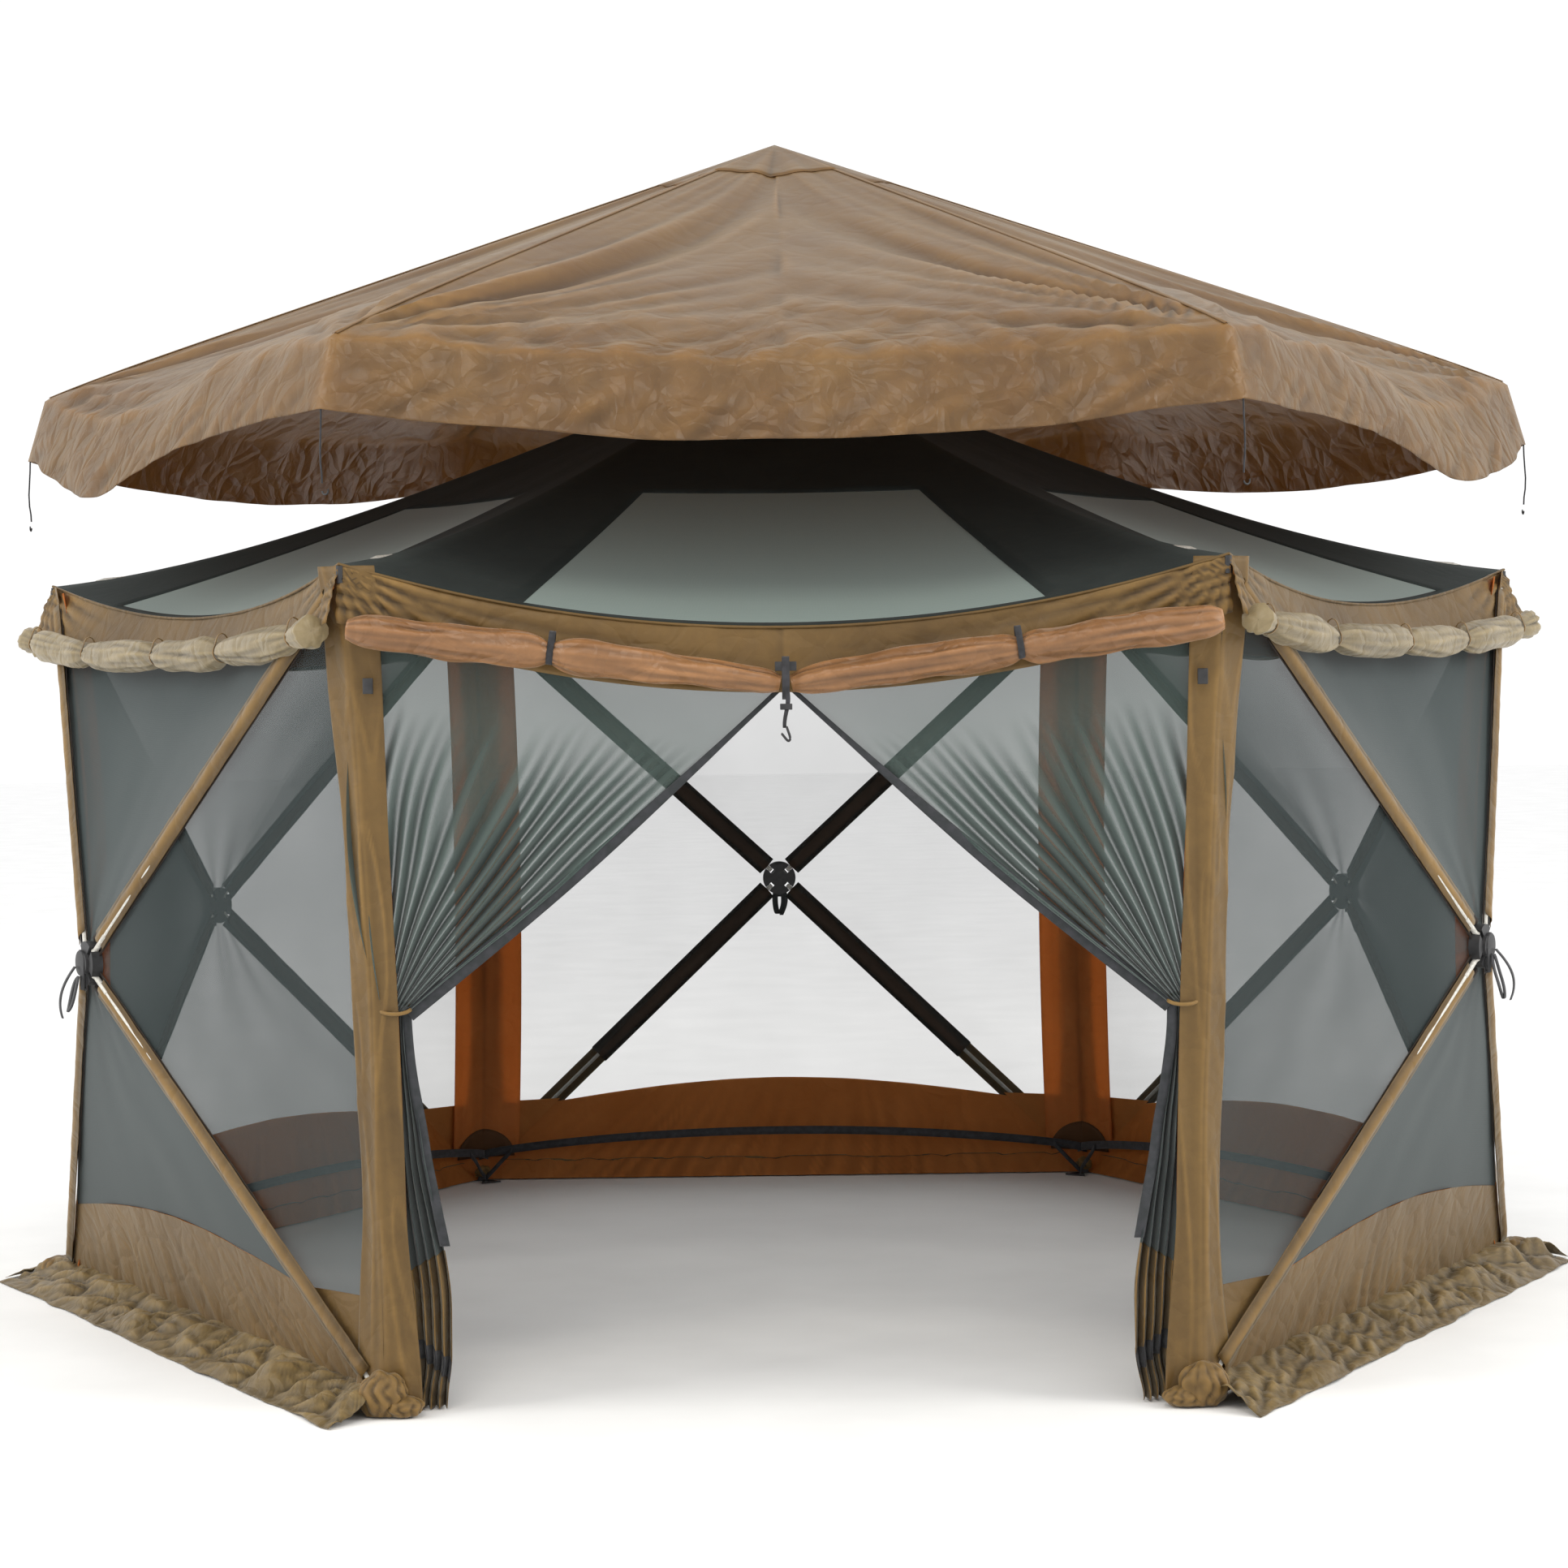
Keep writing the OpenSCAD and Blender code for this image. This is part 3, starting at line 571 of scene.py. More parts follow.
patches = []
for k in range(6):
    def low_hem(u, v, k=k):
        t = lerp(0, W_LOW, v)
        return roof_point(k, u, t, roof_wave(k, u, t))

    def left_patch(u, v, k=k):
        t = lerp(W_LOW, W_TOP, v)
        return roof_point(k, u * (0.5 - WINDOW_SHARE / 2), t, roof_wave(k, u * (0.5 - WINDOW_SHARE / 2), t))

    def right_patch(u, v, k=k):
        t = lerp(W_LOW, W_TOP, v)
        s = lerp(0.5 + WINDOW_SHARE / 2, 1, u)
        return roof_point(k, s, t, roof_wave(k, s, t))

    def top_patch(u, v, k=k):
        t = lerp(W_TOP, 1.0, v)
        return roof_point(k, u, t, roof_wave(k, u, t))

    patches += [grid_sheet("roof_low", 40, 1, low_hem, SIDE, 0.03, UP),
                grid_sheet("roof_left", 8, 20, left_patch, 0.4, 0.5, UP),
                grid_sheet("roof_right", 8, 20, right_patch, 0.4, 0.5, UP),
                grid_sheet("roof_top", 40, 28, top_patch, SIDE, 1.2, UP)]
    win = grid_sheet("roof_window_" + str(k), 26, 20, lambda u, v, k=k: roof_point(
        k, 0.5 + (u - 0.5) * WINDOW_SHARE, lerp(W_LOW, W_TOP, v),
        -0.001 + roof_wave(k, u, v) * 0.7),
        1.0, 0.5, UP)
    settle(win, "roof_window_" + WALLS[k], None, "screen_mesh", roof_screen)
    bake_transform(win)
    if k == 0:
        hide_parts("roof_windows")
bpy.ops.object.select_all(action="DESELECT")
for p in patches:
    p.select_set(True)
bpy.context.view_layer.objects.active = patches[0]
bpy.ops.object.join()
roof = merged(patches[0], 0.0006)
thicken(roof, 0.0015)
settle(roof, "roof_cloth", None, "slate_cloth", slate_cloth)
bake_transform(roof)
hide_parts("roof_fabric")
# The cut is six gores, each with its window taken out.
print("roof faces", len(roof.data.polygons), "area", round(area_of(roof) / 2, 2))

# %% [markdown]
# ## Wall screens
# Each of the five walls is four triangles of screen that meet at the hub. They are stretched between the corner seams,
# the ground and the eave. The lower part is solid cloth, highest in the middle of the wall.

# %% Wall panels
HOLE = 0.955
BAND, BAND_MID = 0.235, 0.300
# Share of a side panel's corner edge that lies below the band's top
BAND_START = BAND / EAVE


def foot(k, s):
    return wall(k, s, 0.004, -0.004)


def panel_edge(k, side, s):
    """Point s along one outer edge of wall k. The edges run right round it: foot, right, eave, left."""
    if side == 0:
        return foot(k, s)
    if side == 1:
        return seam(k + 1, lerp(0.004, EAVE, s))
    if side == 2:
        return eave(k, 1 - s)
    return seam(k, lerp(EAVE, 0.004, s))


def band_share(k, s):
    """How far up the bottom panel the solid band reaches, as a share of the way to the hub, at place s."""
    hub_z = hub_point(k).z
    top = BAND + (BAND_MID - BAND) * 4 * s * (1 - s)
    return top / hub_z


def wrinkle(k, side, s, t, seed):
    e = 4 * s * (1 - s)
    return 0.003 * wave(s * 7, t * 4, side, seed + k) * e + 0.010 * (e * t * (1 - t)) * -1.2


mesh_pieces, band_pieces = [], []
for k in range(1, 6):
    body = "hub_" + WALLS[k]
    parts, lows = [], []
    for side in range(4):

        def screen_point(u, v, k=k, side=side):
            if side == 0:
                t = lerp(band_share(k, u), HOLE, v)
                s = u
            elif side == 2:
                t = lerp(0.0, HOLE, v)
                s = u
            else:
                s = lerp(BAND_START, 1, u) if side == 1 else lerp(0, 1 - BAND_START, u)
                t = HOLE * v
            return panel_point(k, panel_edge(k, side, s), t, wrinkle(k, side, s, t, 3))

        parts.append(grid_sheet("p", 34, 26, screen_point, 1.9, 0.95, outward(k)))
    # The side panels' lowest wedge is solid cloth as far as the band's top line.
    for side in (1, 3):
        def wedge(u, v, k=k, side=side):
            s = BAND_START * u if side == 1 else lerp(1 - BAND_START, 1, u)
            return panel_point(k, panel_edge(k, side, s), HOLE * v, wrinkle(k, side, s, HOLE * v, 3))

        def solid_wedge(u, v, k=k, side=side):
            s = BAND_START * u if side == 1 else lerp(1 - BAND_START, 1, u)
            # from the seam inward until the line to the hub rises above the band
            h = hub_point(k).z
            z0 = (0.004 + (EAVE - 0.004) * s) if side == 1 else lerp(EAVE, 0.004, s)
            reach = max(0.0, (BAND + 0.012 - z0) / max(h - z0, 0.01))
            t = min(reach, HOLE) * v
            return panel_point(k, panel_edge(k, side, s), t, wrinkle(k, side, s, t, 3) + 0.0012)

        parts.append(grid_sheet("p", 10, 26, wedge, 0.24, 0.95, outward(k)))
        lows.append(grid_sheet("l", 10, 12, solid_wedge, 0.24, 0.3, outward(k)))

    def band(u, v, k=k):
        t = band_share(k, u) * v
        p = panel_point(k, foot(k, u), t, 0.0015)
        e = math.sin(math.pi * u) ** 0.5
        gather = 0.007 * ridges(u * 30 + v * 2, v * 0.8, 2, k) * (1 - v) ** 0.8
        return p + outward(k) * ((0.008 * wave(u * 11, v * 1.2, 0, k) * v + gather) * e)

    lows.append(grid_sheet("l", 170, 16, band, 1.9, 0.28, outward(k)))
    for group, name, mats, store in ((parts, "wall_screen_", (wall_screen,), mesh_pieces),
                                     (lows, "wall_band_", (tan_cloth, tan_inner_face_painted_backlight), band_pieces)):
        bpy.ops.object.select_all(action="DESELECT")
        for p in group:
            p.select_set(True)
        bpy.context.view_layer.objects.active = group[0]
        bpy.ops.object.join()
        piece = merged(group[0], 0.0004)
        piece.data.materials.clear()
        piece.data.materials.append(mats[0])
        piece.name = name + WALLS[k]
        start = middle(0.92) + outward(k) * APOTHEM
        if len(mats) == 2:
            # The band's inner face is a layer of its own. It is the same tan cloth, drawn orange as painted light
            # shining through it from outside.
            hollows(piece)
            bpy.ops.object.select_all(action="DESELECT")
            piece.select_set(True)
            bpy.context.view_layer.objects.active = piece
            bpy.ops.object.duplicate()
            lining = bpy.context.active_object
            inside = outward(k) * -0.0020
            for v in lining.data.vertices:
                v.co += inside
            lining.data.flip_normals()
            lining.data.materials.clear()
            lining.data.materials.append(mats[1])
            lining.name = "wall_lining_" + WALLS[k]
            hub_point(k) + inside
            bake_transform(lining)
        hub_point(k)
        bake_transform(piece)
        store.append(piece)
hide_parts("wall_mesh")
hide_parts("lower_bands")
print("screens", len(mesh_pieces), "faces", sum(len(p.data.polygons) for p in mesh_pieces),
      "area of one", round(area_of(mesh_pieces[0]), 2))

# %% [markdown]
# ## Sleeves over the wall poles
# Each pole runs in a sleeve: a tan strip outside, and inside a strip of the same tan cloth drawn dark brown as painted
# shade. Both ride on the pole itself, so they swing with it. The lower end of each bottom pole is bare inside, where
# the cloth stops short of the foot.

# %% Pole ends and sleeves
def world_points(node):
    o = NODES[node]
    m = o.matrix_world
    return [m @ v.co for v in o.data.vertices]


def pole_line(k, e):
    """(inner end at the hub's pin, outer end at the corner) of a wall pole."""
    h = hub_point(k)
    pts = world_points("pole_" + WALLS[k] + "_" + ENDS[e])
    far = max((p - h).length for p in pts)
    end = [p for p in pts if (p - h).length > far - 0.004]
    outer = sum(end, Vector()) / len(end)
    flat = outer - h
    flat -= outward(k) * flat.dot(outward(k))
    return h + flat.normalized() * 0.040, outer


def strip_on(line, normal, t0, t1, width, profile):
    a, b = line
    side = (b - a).cross(normal).normalized()
    up = side.cross(b - a).normalized()
    if up.dot(normal) < 0:
        up = -up

    def place(u, v):
        x = 2 * u - 1
        t = lerp(t0, t1, v)
        return lerp(a, b, t) + side * (x * width / 2) + up * profile(x, t)

    return place, (b - a).length * (t1 - t0)


outer_sleeves, inner_sleeves = [], []
for k in range(1, 6):
    for e in range(4):
        body = "pole_" + WALLS[k] + "_" + ENDS[e]
        line = pole_line(k, e)
        seed = k * 4 + e

        def outside(x, t, seed=seed):
            return 0.0022 + 0.0085 * (1 - min(abs(x) * 1.6, 1) ** 2) + 0.0016 * wave(t * 30, x * 1.5, 0, seed)

        def inside(x, t, seed=seed):
            return -0.0028 - 0.0080 * (1 - min(abs(x) * 1.3, 1) ** 2) - 0.0016 * wave(t * 22, x * 2, 0, seed + 9)

        place, length = strip_on(line, outward(k), 0.035, 0.985, 0.056, outside)
        o = grid_sheet("sleeve", 8, 44, place, 0.056, length, outward(k))
        thicken(o, 0.0012)
        outer_sleeves.append(settle(o, "sleeve_outer_" + body[5:], body, "tan_cloth", tan_cloth))
        stop = 0.62 if e < 2 else 0.97
        place, length = strip_on(line, outward(k), 0.012, stop, 0.062, inside)
        o = grid_sheet("sleeve", 8, 36, place, 0.062, length, -outward(k))
        thicken(o, 0.0012)
        inner_sleeves.append(settle(o, "sleeve_inner_" + body[5:], body, "tan_cloth", tan_sleeve_painted_shade))
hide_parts("sleeve_strips")
print("sleeves", len(outer_sleeves), len(inner_sleeves))

# %% [markdown]
# ## Roof poles
# The real roof poles are sprung, so they bow with the hollow ridges. Each curved rod rides on its own roof pole body.

# %% Curved roof poles
def tube_sheet(name, path, radius, around=12, steps=40, squash_z=1.0, caps=True):
    """A soft or hard tube along path(v), with radius(angle, v). Its ends close to a point."""
    def place(u, v):
        e = 0.012
        w = min(max((v - e) / (1 - 2 * e), 0), 1)
        p = path(w)
        d = (path(min(w + 0.005, 1)) - path(max(w - 0.005, 0))).normalized()
        side = d.cross(UP).normalized()
        top = side.cross(d).normalized()
        a = 2 * math.pi * u
        r = radius(a, w)
        if caps and (v < e * 0.5 or v > 1 - e * 0.5):
            r *= 0.02
        return p + side * (math.cos(a) * r) + top * (math.sin(a) * r * squash_z)

    length = sum((path((i + 1) / 20) - path(i / 20)).length for i in range(20))
    o = grid_sheet(name, around, steps, place, 0.2, length)
    merged(o, 0.00005)
    modify_normals(o)
    return hollows(o, 0.7)


def modify_normals(o):
    bm = bmesh.new()
    bm.from_mesh(o.data)
    bmesh.ops.recalc_face_normals(bm, faces=bm.faces)
    bm.to_mesh(o.data)
    bm.free()


for k in range(6):
    node = "roof_pole_" + CORNERS[k]
    pts = world_points(node)
    far = max((p - middle(p.z)).length for p in pts)
    end = [p for p in pts if (p - middle(p.z)).length > far - 0.004]
    outer = sum(end, Vector()) / len(end)
    near = [p for p in pts if (p - middle(p.z)).length < 0.050]
    inner = middle(sum(p.z for p in near) / len(near)) + ray(turn(k)) * 0.036
    rod = tube_sheet("roof_rod_" + CORNERS[k], lambda t, a=outer, b=inner: lerp(a, b, t) - UP * (
        1.14 * t * (1 - t) * (0.38 - 0.31 * t)), lambda a, t: 0.0055 + (0.0012 if t > 0.965 else 0), 12, 40)
    settle(rod, rod.name, node, "fibreglass", pole_gel)
    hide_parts(node)
print("roof rods 6")

# %% [markdown]
# ## Eave bands
# A tan band hangs from the eave all round. It is pleated where it's drawn to the corners, and the pleats run out
# from each corner like rays.

# %% Eave bands
def band_depth(k, s):
    return 0.128 + (0.014 if k == 0 else -0.006) * 4 * s * (1 - s)


def round_corner(k, s, reach=0.05):
    """Outward direction that turns to the corner's own direction at the ends of the wall."""
    w = smooth(1 - min(s, 1 - s) / reach)
    c = ray(turn(k)) if s < 0.5 else ray(turn(k + 1))
    return lerp(outward(k), c / math.cos(math.radians(30)), w)


def pleats(k, s, drop, seed=0):
    """Rays from the two upper corners of a band. Those on the door's band run on to its middle."""
    x = min(s, 1 - s) * SIDE
    a = math.atan2(drop + 0.012, x + 0.012)
    r = math.hypot(drop, x)
    side = 1 if s < 0.5 else 2
    reach = 0.55 if k == 0 else 0.20
    near = math.exp(-r / reach) * min(r / 0.03, 1)
    sharp = abs(math.sin(a * 15 + 2.5 * wave(r * 2, 0, 0, k + side))) ** 0.6 - 0.6
    slow = abs(math.sin(drop * 46 / (0.25 + r) + 1.5 * wave(r * 1.5, 0, 0, k + side + 7))) ** 0.7 - 0.6
    return near * (0.010 * sharp + 0.007 * slow) + 0.003 * wave(s * 21, drop * 9, side, seed + k + 20)


for k in range(6):
    flare = 0.012 if k == 0 else 0.044

    def place(u, v, k=k, flare=flare):
        drop = band_depth(k, u) * v
        p = eave(k, u) - UP * (drop - 0.002)
        return p + round_corner(k, u) * (0.004 + flare * v + PULL[k] * 4 * u * (1 - u) * v * 0.4 + pleats(k, u, drop))

    o = grid_sheet("eave_band_" + WALLS[k], 260, 18, place, SIDE, 0.14, outward(k))
    o.data.materials.append(tan_cloth)
    # The inner face is drawn orange as painted light through the tan cloth.
    o.data.materials.append(tan_inner_face_painted_backlight)
    thicken(o, 0.0015, inner=True)
    settle(o, o.name, "shelter", "tan_cloth")
    hem = grid_sheet("eave_piping_" + WALLS[k], 6, 80, lambda u, v, k=k: eave(k, v) + round_corner(k, v) * (
        0.006 + 0.0035 * math.cos(2 * math.pi * u)) + UP * (0.0035 * math.sin(2 * math.pi * u)), 0.02, SIDE)
    merged(hem, 0.00005)
    modify_normals(hem)
    settle(hem, hem.name, "shelter", "tan_cloth", tan_cloth)
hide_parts("eave_band")

# %% [markdown]
# ## Rolled wind panels
# A wind panel is rolled up under the band of every wall. Between its ties the roll swells, and its skin wrinkles
# along a slow spiral. The door's roll is copper coloured and hangs in two halves from the middle.

# %% Rolls and ties
def lump(t, ties):
    """1 between ties, less at a tie."""
    return 1 - 0.42 * max(math.exp(-(abs(t - x) / 0.022) ** 1.3) for x in ties)


def roll_skin(a, t, length, seed, ties, base):
    swell = 1 + 0.05 * math.sin(t * 41 + seed) + 0.20 * wave(t * length * 3.5, math.cos(a), math.sin(a), seed)
    spiral = 0.16 * wave(t * length * 7, math.cos(a) * 3.2, math.sin(a) * 3.2, seed + 5)
    crease = -0.16 * max(0.0, 1 - abs(math.sin((a * 0.5 + t * length * 1.1 + seed))) * 7)
    return base * 1.10 * lump(t, ties) * (swell + spiral + crease)


roll_pieces, tie_pieces = [], []
TIES = [0.03, 0.24, 0.50, 0.72, 0.95]


def side_roll_path(k):
    def path(t):
        s = lerp(0.004, 0.996, t)
        return wall(k, s, 1.668 - 0.028 * 4 * s * (1 - s)) + outward(k) * (0.074 - 0.004 * 4 * s * (1 - s)) + UP * (
            0.020 * (abs(2 * s - 1)) ** 4)
    return path


for k in range(1, 6):
    path = side_roll_path(k)
    o = tube_sheet("wind_roll_" + WALLS[k], path, lambda a, t, k=k: roll_skin(a, t, 1.9, k, TIES, 0.0335), 40, 190)
    roll_pieces.append(settle(o, o.name, "shelter", "tan_cloth", roll_cloth))
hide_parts("side_rolls")


def door_roll_path(side):
    def path(t):
        x = lerp(0.012, 0.935, t)
        z = lerp(1.562, 1.690, t ** 0.92)
        return middle(z) + Vector((side * x, -APOTHEM - 0.048 + 0.006 * t, 0))
    return path


for side, label in ((-1, "left"), (1, "right")):
    path = door_roll_path(side)
    o = tube_sheet("door_roll_" + label, path, lambda a, t, side=side: roll_skin(
        a, t, 0.95, side + 3, [0.0, 0.53, 1.0], lerp(0.026, 0.033, smooth(t * 3))), 40, 110)
    settle(o, o.name, "shelter", "copper_cloth", copper_cloth)
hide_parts("door_roll")


def loop_round(name, path, t, radius, width, up_by):
    """A flat tie round a roll, with its upper side drawn up to the band."""
    p, q = path(t), path(min(t + 0.004, 1))
    d = (q - p).normalized()
    side = d.cross(UP).normalized()
    top = side.cross(d).normalized()

    def place(u, v):
        a = 2 * math.pi * u
        r = radius * (1 + up_by * max(0.0, math.sin(a)) ** 8)
        return p + d * ((v - 0.5) * width) + side * (math.cos(a) * r) + top * (math.sin(a) * r)

    o = grid_sheet(name, 32, 2, place, 0.2, width)
    merged(o, 0.00005)
    modify_normals(o)
    return thicken(o, -0.0012)


for k in range(1, 6):
    for i, t in enumerate(TIES):
        o = loop_round("roll_tie", side_roll_path(k), t, 0.0225, 0.008, 0.9)
        tie_pieces.append(settle(o, "roll_tie_%s_%d" % (WALLS[k], i), "shelter", "tan_cloth", tan_cloth))
for side in (-1, 1):
    o = loop_round("roll_tie", door_roll_path(side), 0.53, 0.0235, 0.014, 1.0)
    tie_pieces.append(settle(o, "door_tie_%d" % (side + 1), "shelter", "black_webbing", black_webbing))
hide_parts("roll_ties")

# %% [markdown]
# ## Corner strips
# A tan strip is folded round each corner over the seam, wider at its top and foot than in the middle. Behind it runs a
# broad inner strip of the same cloth. The orange of its inner face is painted light shining through the tan cloth.

# %% Corner strips
def strip_half(t):
    return 0.056 + 0.016 * smooth((t - 0.62) / 0.38) + 0.026 * smooth((0.24 - t) / 0.24)


def strip_point(k, x, z, width, lift):
    """x from -1 on the wall before corner k to 1 on the wall after it."""
    w = (k - 1) % 6 if x < 0 else k % 6
    way = -along(w) if x < 0 else along(w)
    lean = 0.0 if w == 0 else HUB_OUT / (SIDE / 2) * 0.93
    d = abs(x) * width
    bisect = lerp(ray(turn(k)) / math.cos(math.radians(30)), outward(w), smooth(abs(x) * 3))
    return seam(k, z) + way * d + outward(w) * (lean * d) + bisect * lift


for k in range(6):
    def outer(u, v, k=k):
        x = 2 * u - 1
        z = lerp(0.010, EAVE - 0.004, v)
        fold = 0.004 * wave(x * 1.6, v * 4.0, 0, k) + 0.004 * ridges(x * 1.3 + v * 2, v * 5, 3, k)
        fold += 0.012 * wave(x * 2, v * 22, 1, k) * smooth((0.12 - v) / 0.12)
        fold -= 0.0025 * math.exp(-(x / 0.06) ** 2)
        return strip_point(k, x, z, strip_half(v), 0.0045 + fold)

    o = grid_sheet("corner_strip_" + CORNERS[k], 34, 130, outer, 0.16, EAVE, ray(turn(k)))
    o.data.materials.append(tan_cloth)
    o.data.materials.append(tan_inner_face_painted_backlight)
    thicken(o, 0.0015, inner=True)
    settle(o, o.name, "shelter", "tan_cloth")

    def inner(u, v, k=k):
        x = 2 * u - 1
        z = lerp(0.006, EAVE - 0.02, v)
        fold = 0.003 * wave(x * 4, v * 3, 0, k + 30)
        wide = 0.118 if k not in (0, 1) else 0.055
        p = strip_point(k, x, z, wide, -0.009 + fold)
        return p

    o = grid_sheet("corner_lining_" + CORNERS[k], 18, 60, inner, 0.22, EAVE, -ray(turn(k)))
    thicken(o, 0.0012)
    settle(o, o.name, "shelter", "tan_cloth", tan_inner_face_painted_backlight)
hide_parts("corner_strips")


def crumpled(name, centre, size, seed, body="shelter", material=None):
    """A small heap of gathered cloth: a ball pushed in and out along many folds."""
    bpy.ops.object.select_all(action="DESELECT")
    bpy.ops.mesh.primitive_uv_sphere_add(segments=72, ring_count=40, radius=1.0, location=(0, 0, 0))
    o = bpy.context.active_object
    o.data.uv_layers[0].name = "cloth"
    for v in o.data.vertices:
        n = v.co.normalized()
        around = math.atan2(n.y, n.x)
        fold = abs(math.sin(around * 5 + 2.2 * wave(n.z * 1.6, n.x, 0, seed) + seed)) ** 0.7 - 0.6
        r = 1 + 0.13 * fold * (1 - n.z * n.z) + 0.12 * wave(n.x * 2.5, n.y * 2.5, n.z * 2, seed + 3)
        v.co = Vector((n.x * size[0] * r, n.y * size[1] * r, n.z * size[2] * r)) + centre
        v.co.z = max(v.co.z, 0.003)
    o.data.shade_smooth()
    hollows(o, 0.8)
    return settle(o, name, body, "tan_cloth", material or tan_cloth)


for k in range(6):
    base = seam(k, 0.0) + ray(turn(k)) * 0.004
    if k in (0, 1):
        crumpled("foot_gather_" + CORNERS[k], base + UP * 0.046 + Vector((0, -0.006, 0)), (0.052, 0.042, 0.052), k)
        inward = Vector((0.040 if k == 0 else -0.040, -0.012, 0))
        crumpled("foot_gather_low_" + CORNERS[k], base + UP * 0.022 + inward, (0.048, 0.034, 0.024), k + 8)
    else:
        crumpled("foot_gather_" + CORNERS[k], base + UP * 0.030 + ray(turn(k)) * 0.020, (0.052, 0.052, 0.034), k)

# %% [markdown]
# ## Skirts and the ground strap
# A crumpled skirt lies on the ground outside each wall. A black strap runs round inside from foot to foot and
# keeps the feet apart. It arches a little between them.

# %% Skirts and strap
for k in range(1, 6):
    def place(u, v, k=k):
        s = lerp(-0.034 * v, 1 + 0.034 * v, u)
        reach = 0.160 * v * (1 + 0.05 * wave(u * 9, 0, 0, k))
        p = wall(k, s, 0.0) + outward(k) * (reach + 0.004)
        # Facets like those of crushed paper: the distance from the nearest of many scattered points, at two sizes.
        near = noise.voronoi(Vector((u * 12, v * 1.5 + u * 2, k * 7.0)))[0]
        small = noise.voronoi(Vector((u * 30 + v * 3, v * 3.2, k * 5.0 + 3)))[0]
        crumple = 0.052 * (near[1] - near[0]) + 0.020 * (small[1] - small[0])
        rise = (1 - v) ** 1.6 * 0.055 + crumple * math.sin(math.pi * min(v * 0.88 + 0.10, 1)) ** 0.7
        p.z = 0.0022 + min(rise, 0.062)
        return p + outward(k) * (0.010 * wave(u * 22, v * 3, 4, k) * v)

    o = grid_sheet("ground_skirt_" + WALLS[k], 260, 24, place, SIDE, 0.19, UP)
    thicken(o, 0.0012)
    settle(o, o.name, "shelter", "tan_cloth", skirt_cloth)
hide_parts("ground_skirt")

for k in range(1, 6):
    def place(u, v, k=k):
        z = 0.080 + 0.072 * math.sin(math.pi * v) ** 0.7
        p = wall(k, v, 0.0) - outward(k) * (0.032 + 0.020 * math.sin(math.pi * v))
        p.z = z + (u - 0.5) * 0.025
        return p - outward(k) * (0.002 * wave(v * 9, u, 0, k))

    o = grid_sheet("ground_strap_" + WALLS[k], 2, 60, place, 0.025, SIDE, -outward(k))
    thicken(o, 0.0022)
    settle(o, o.name, "shelter", "black_webbing", black_webbing)
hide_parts("ground_strap")

patch_cloth = cloth("polyester_inner_corner_patch", "#5b3a20", "#43290f", crease=0.3, crumple=0.1, sheen=0.05,
                    rough=0.65, gloss=0.2)
for k in range(2, 6):
    for side, w in ((-1, (k - 1) % 6), (1, k % 6)):
        way = along(w) * side
        if w == 0:
            continue

        def place(u, v, k=k, w=w, way=way):
            a = math.pi / 2 * (1 - u)
            r = 0.105 * v
            z = 0.075 + r * math.sin(a) * 0.85
            d = r * math.cos(a)
            lean = HUB_OUT / (SIDE / 2) * 0.93
            return seam(k, z) + way * d + outward(w) * (lean * d - 0.0125)

        o = grid_sheet("corner_patch", 14, 6, place, 0.15, 0.1, -outward(w))
        thicken(o, 0.0012)
        settle(o, "corner_patch_%s_%d" % (CORNERS[k], side + 1), "shelter", "tan_cloth", patch_cloth)
    # Two webbing legs run from the foot up to the strap.
    for side in (-1, 1):
        w = (k - 1) % 6 if side < 0 else k % 6
        if w == 0:
            continue
        a = corner(k, 0) - ray(turn(k)) * 0.045 + UP * 0.012
        b = wall(w, 0.055 if side > 0 else 0.945, 0.0) - outward(w) * 0.040 + UP * 0.098

        def place(u, v, a=a, b=b):
            return lerp(a, b, v) + UP * ((u - 0.5) * 0.018) + (b - a).cross(UP).normalized() * (0.002 * math.sin(v * 7))

        o = grid_sheet("foot_leg", 2, 12, place, 0.018, 0.12, -ray(turn(k)))
        thicken(o, 0.002)
        settle(o, "foot_leg_%s_%d" % (CORNERS[k], side + 1), "shelter", "black_webbing", black_webbing)

# %% [markdown]
# ## Door curtains
# Each curtain is a sheet of screen that hangs from the door's roll and is gathered at a tie on the corner strip.
# Its folds all run towards the tie. Below the tie the gathered cloth hangs as a bundle and opens to a tan foot.

# %% Curtains
TIE = Vector((0.842, MID - APOTHEM + 0.014, 0.872))


def mirror(p, side):
    return Vector((p.x * side, p.y, p.z))


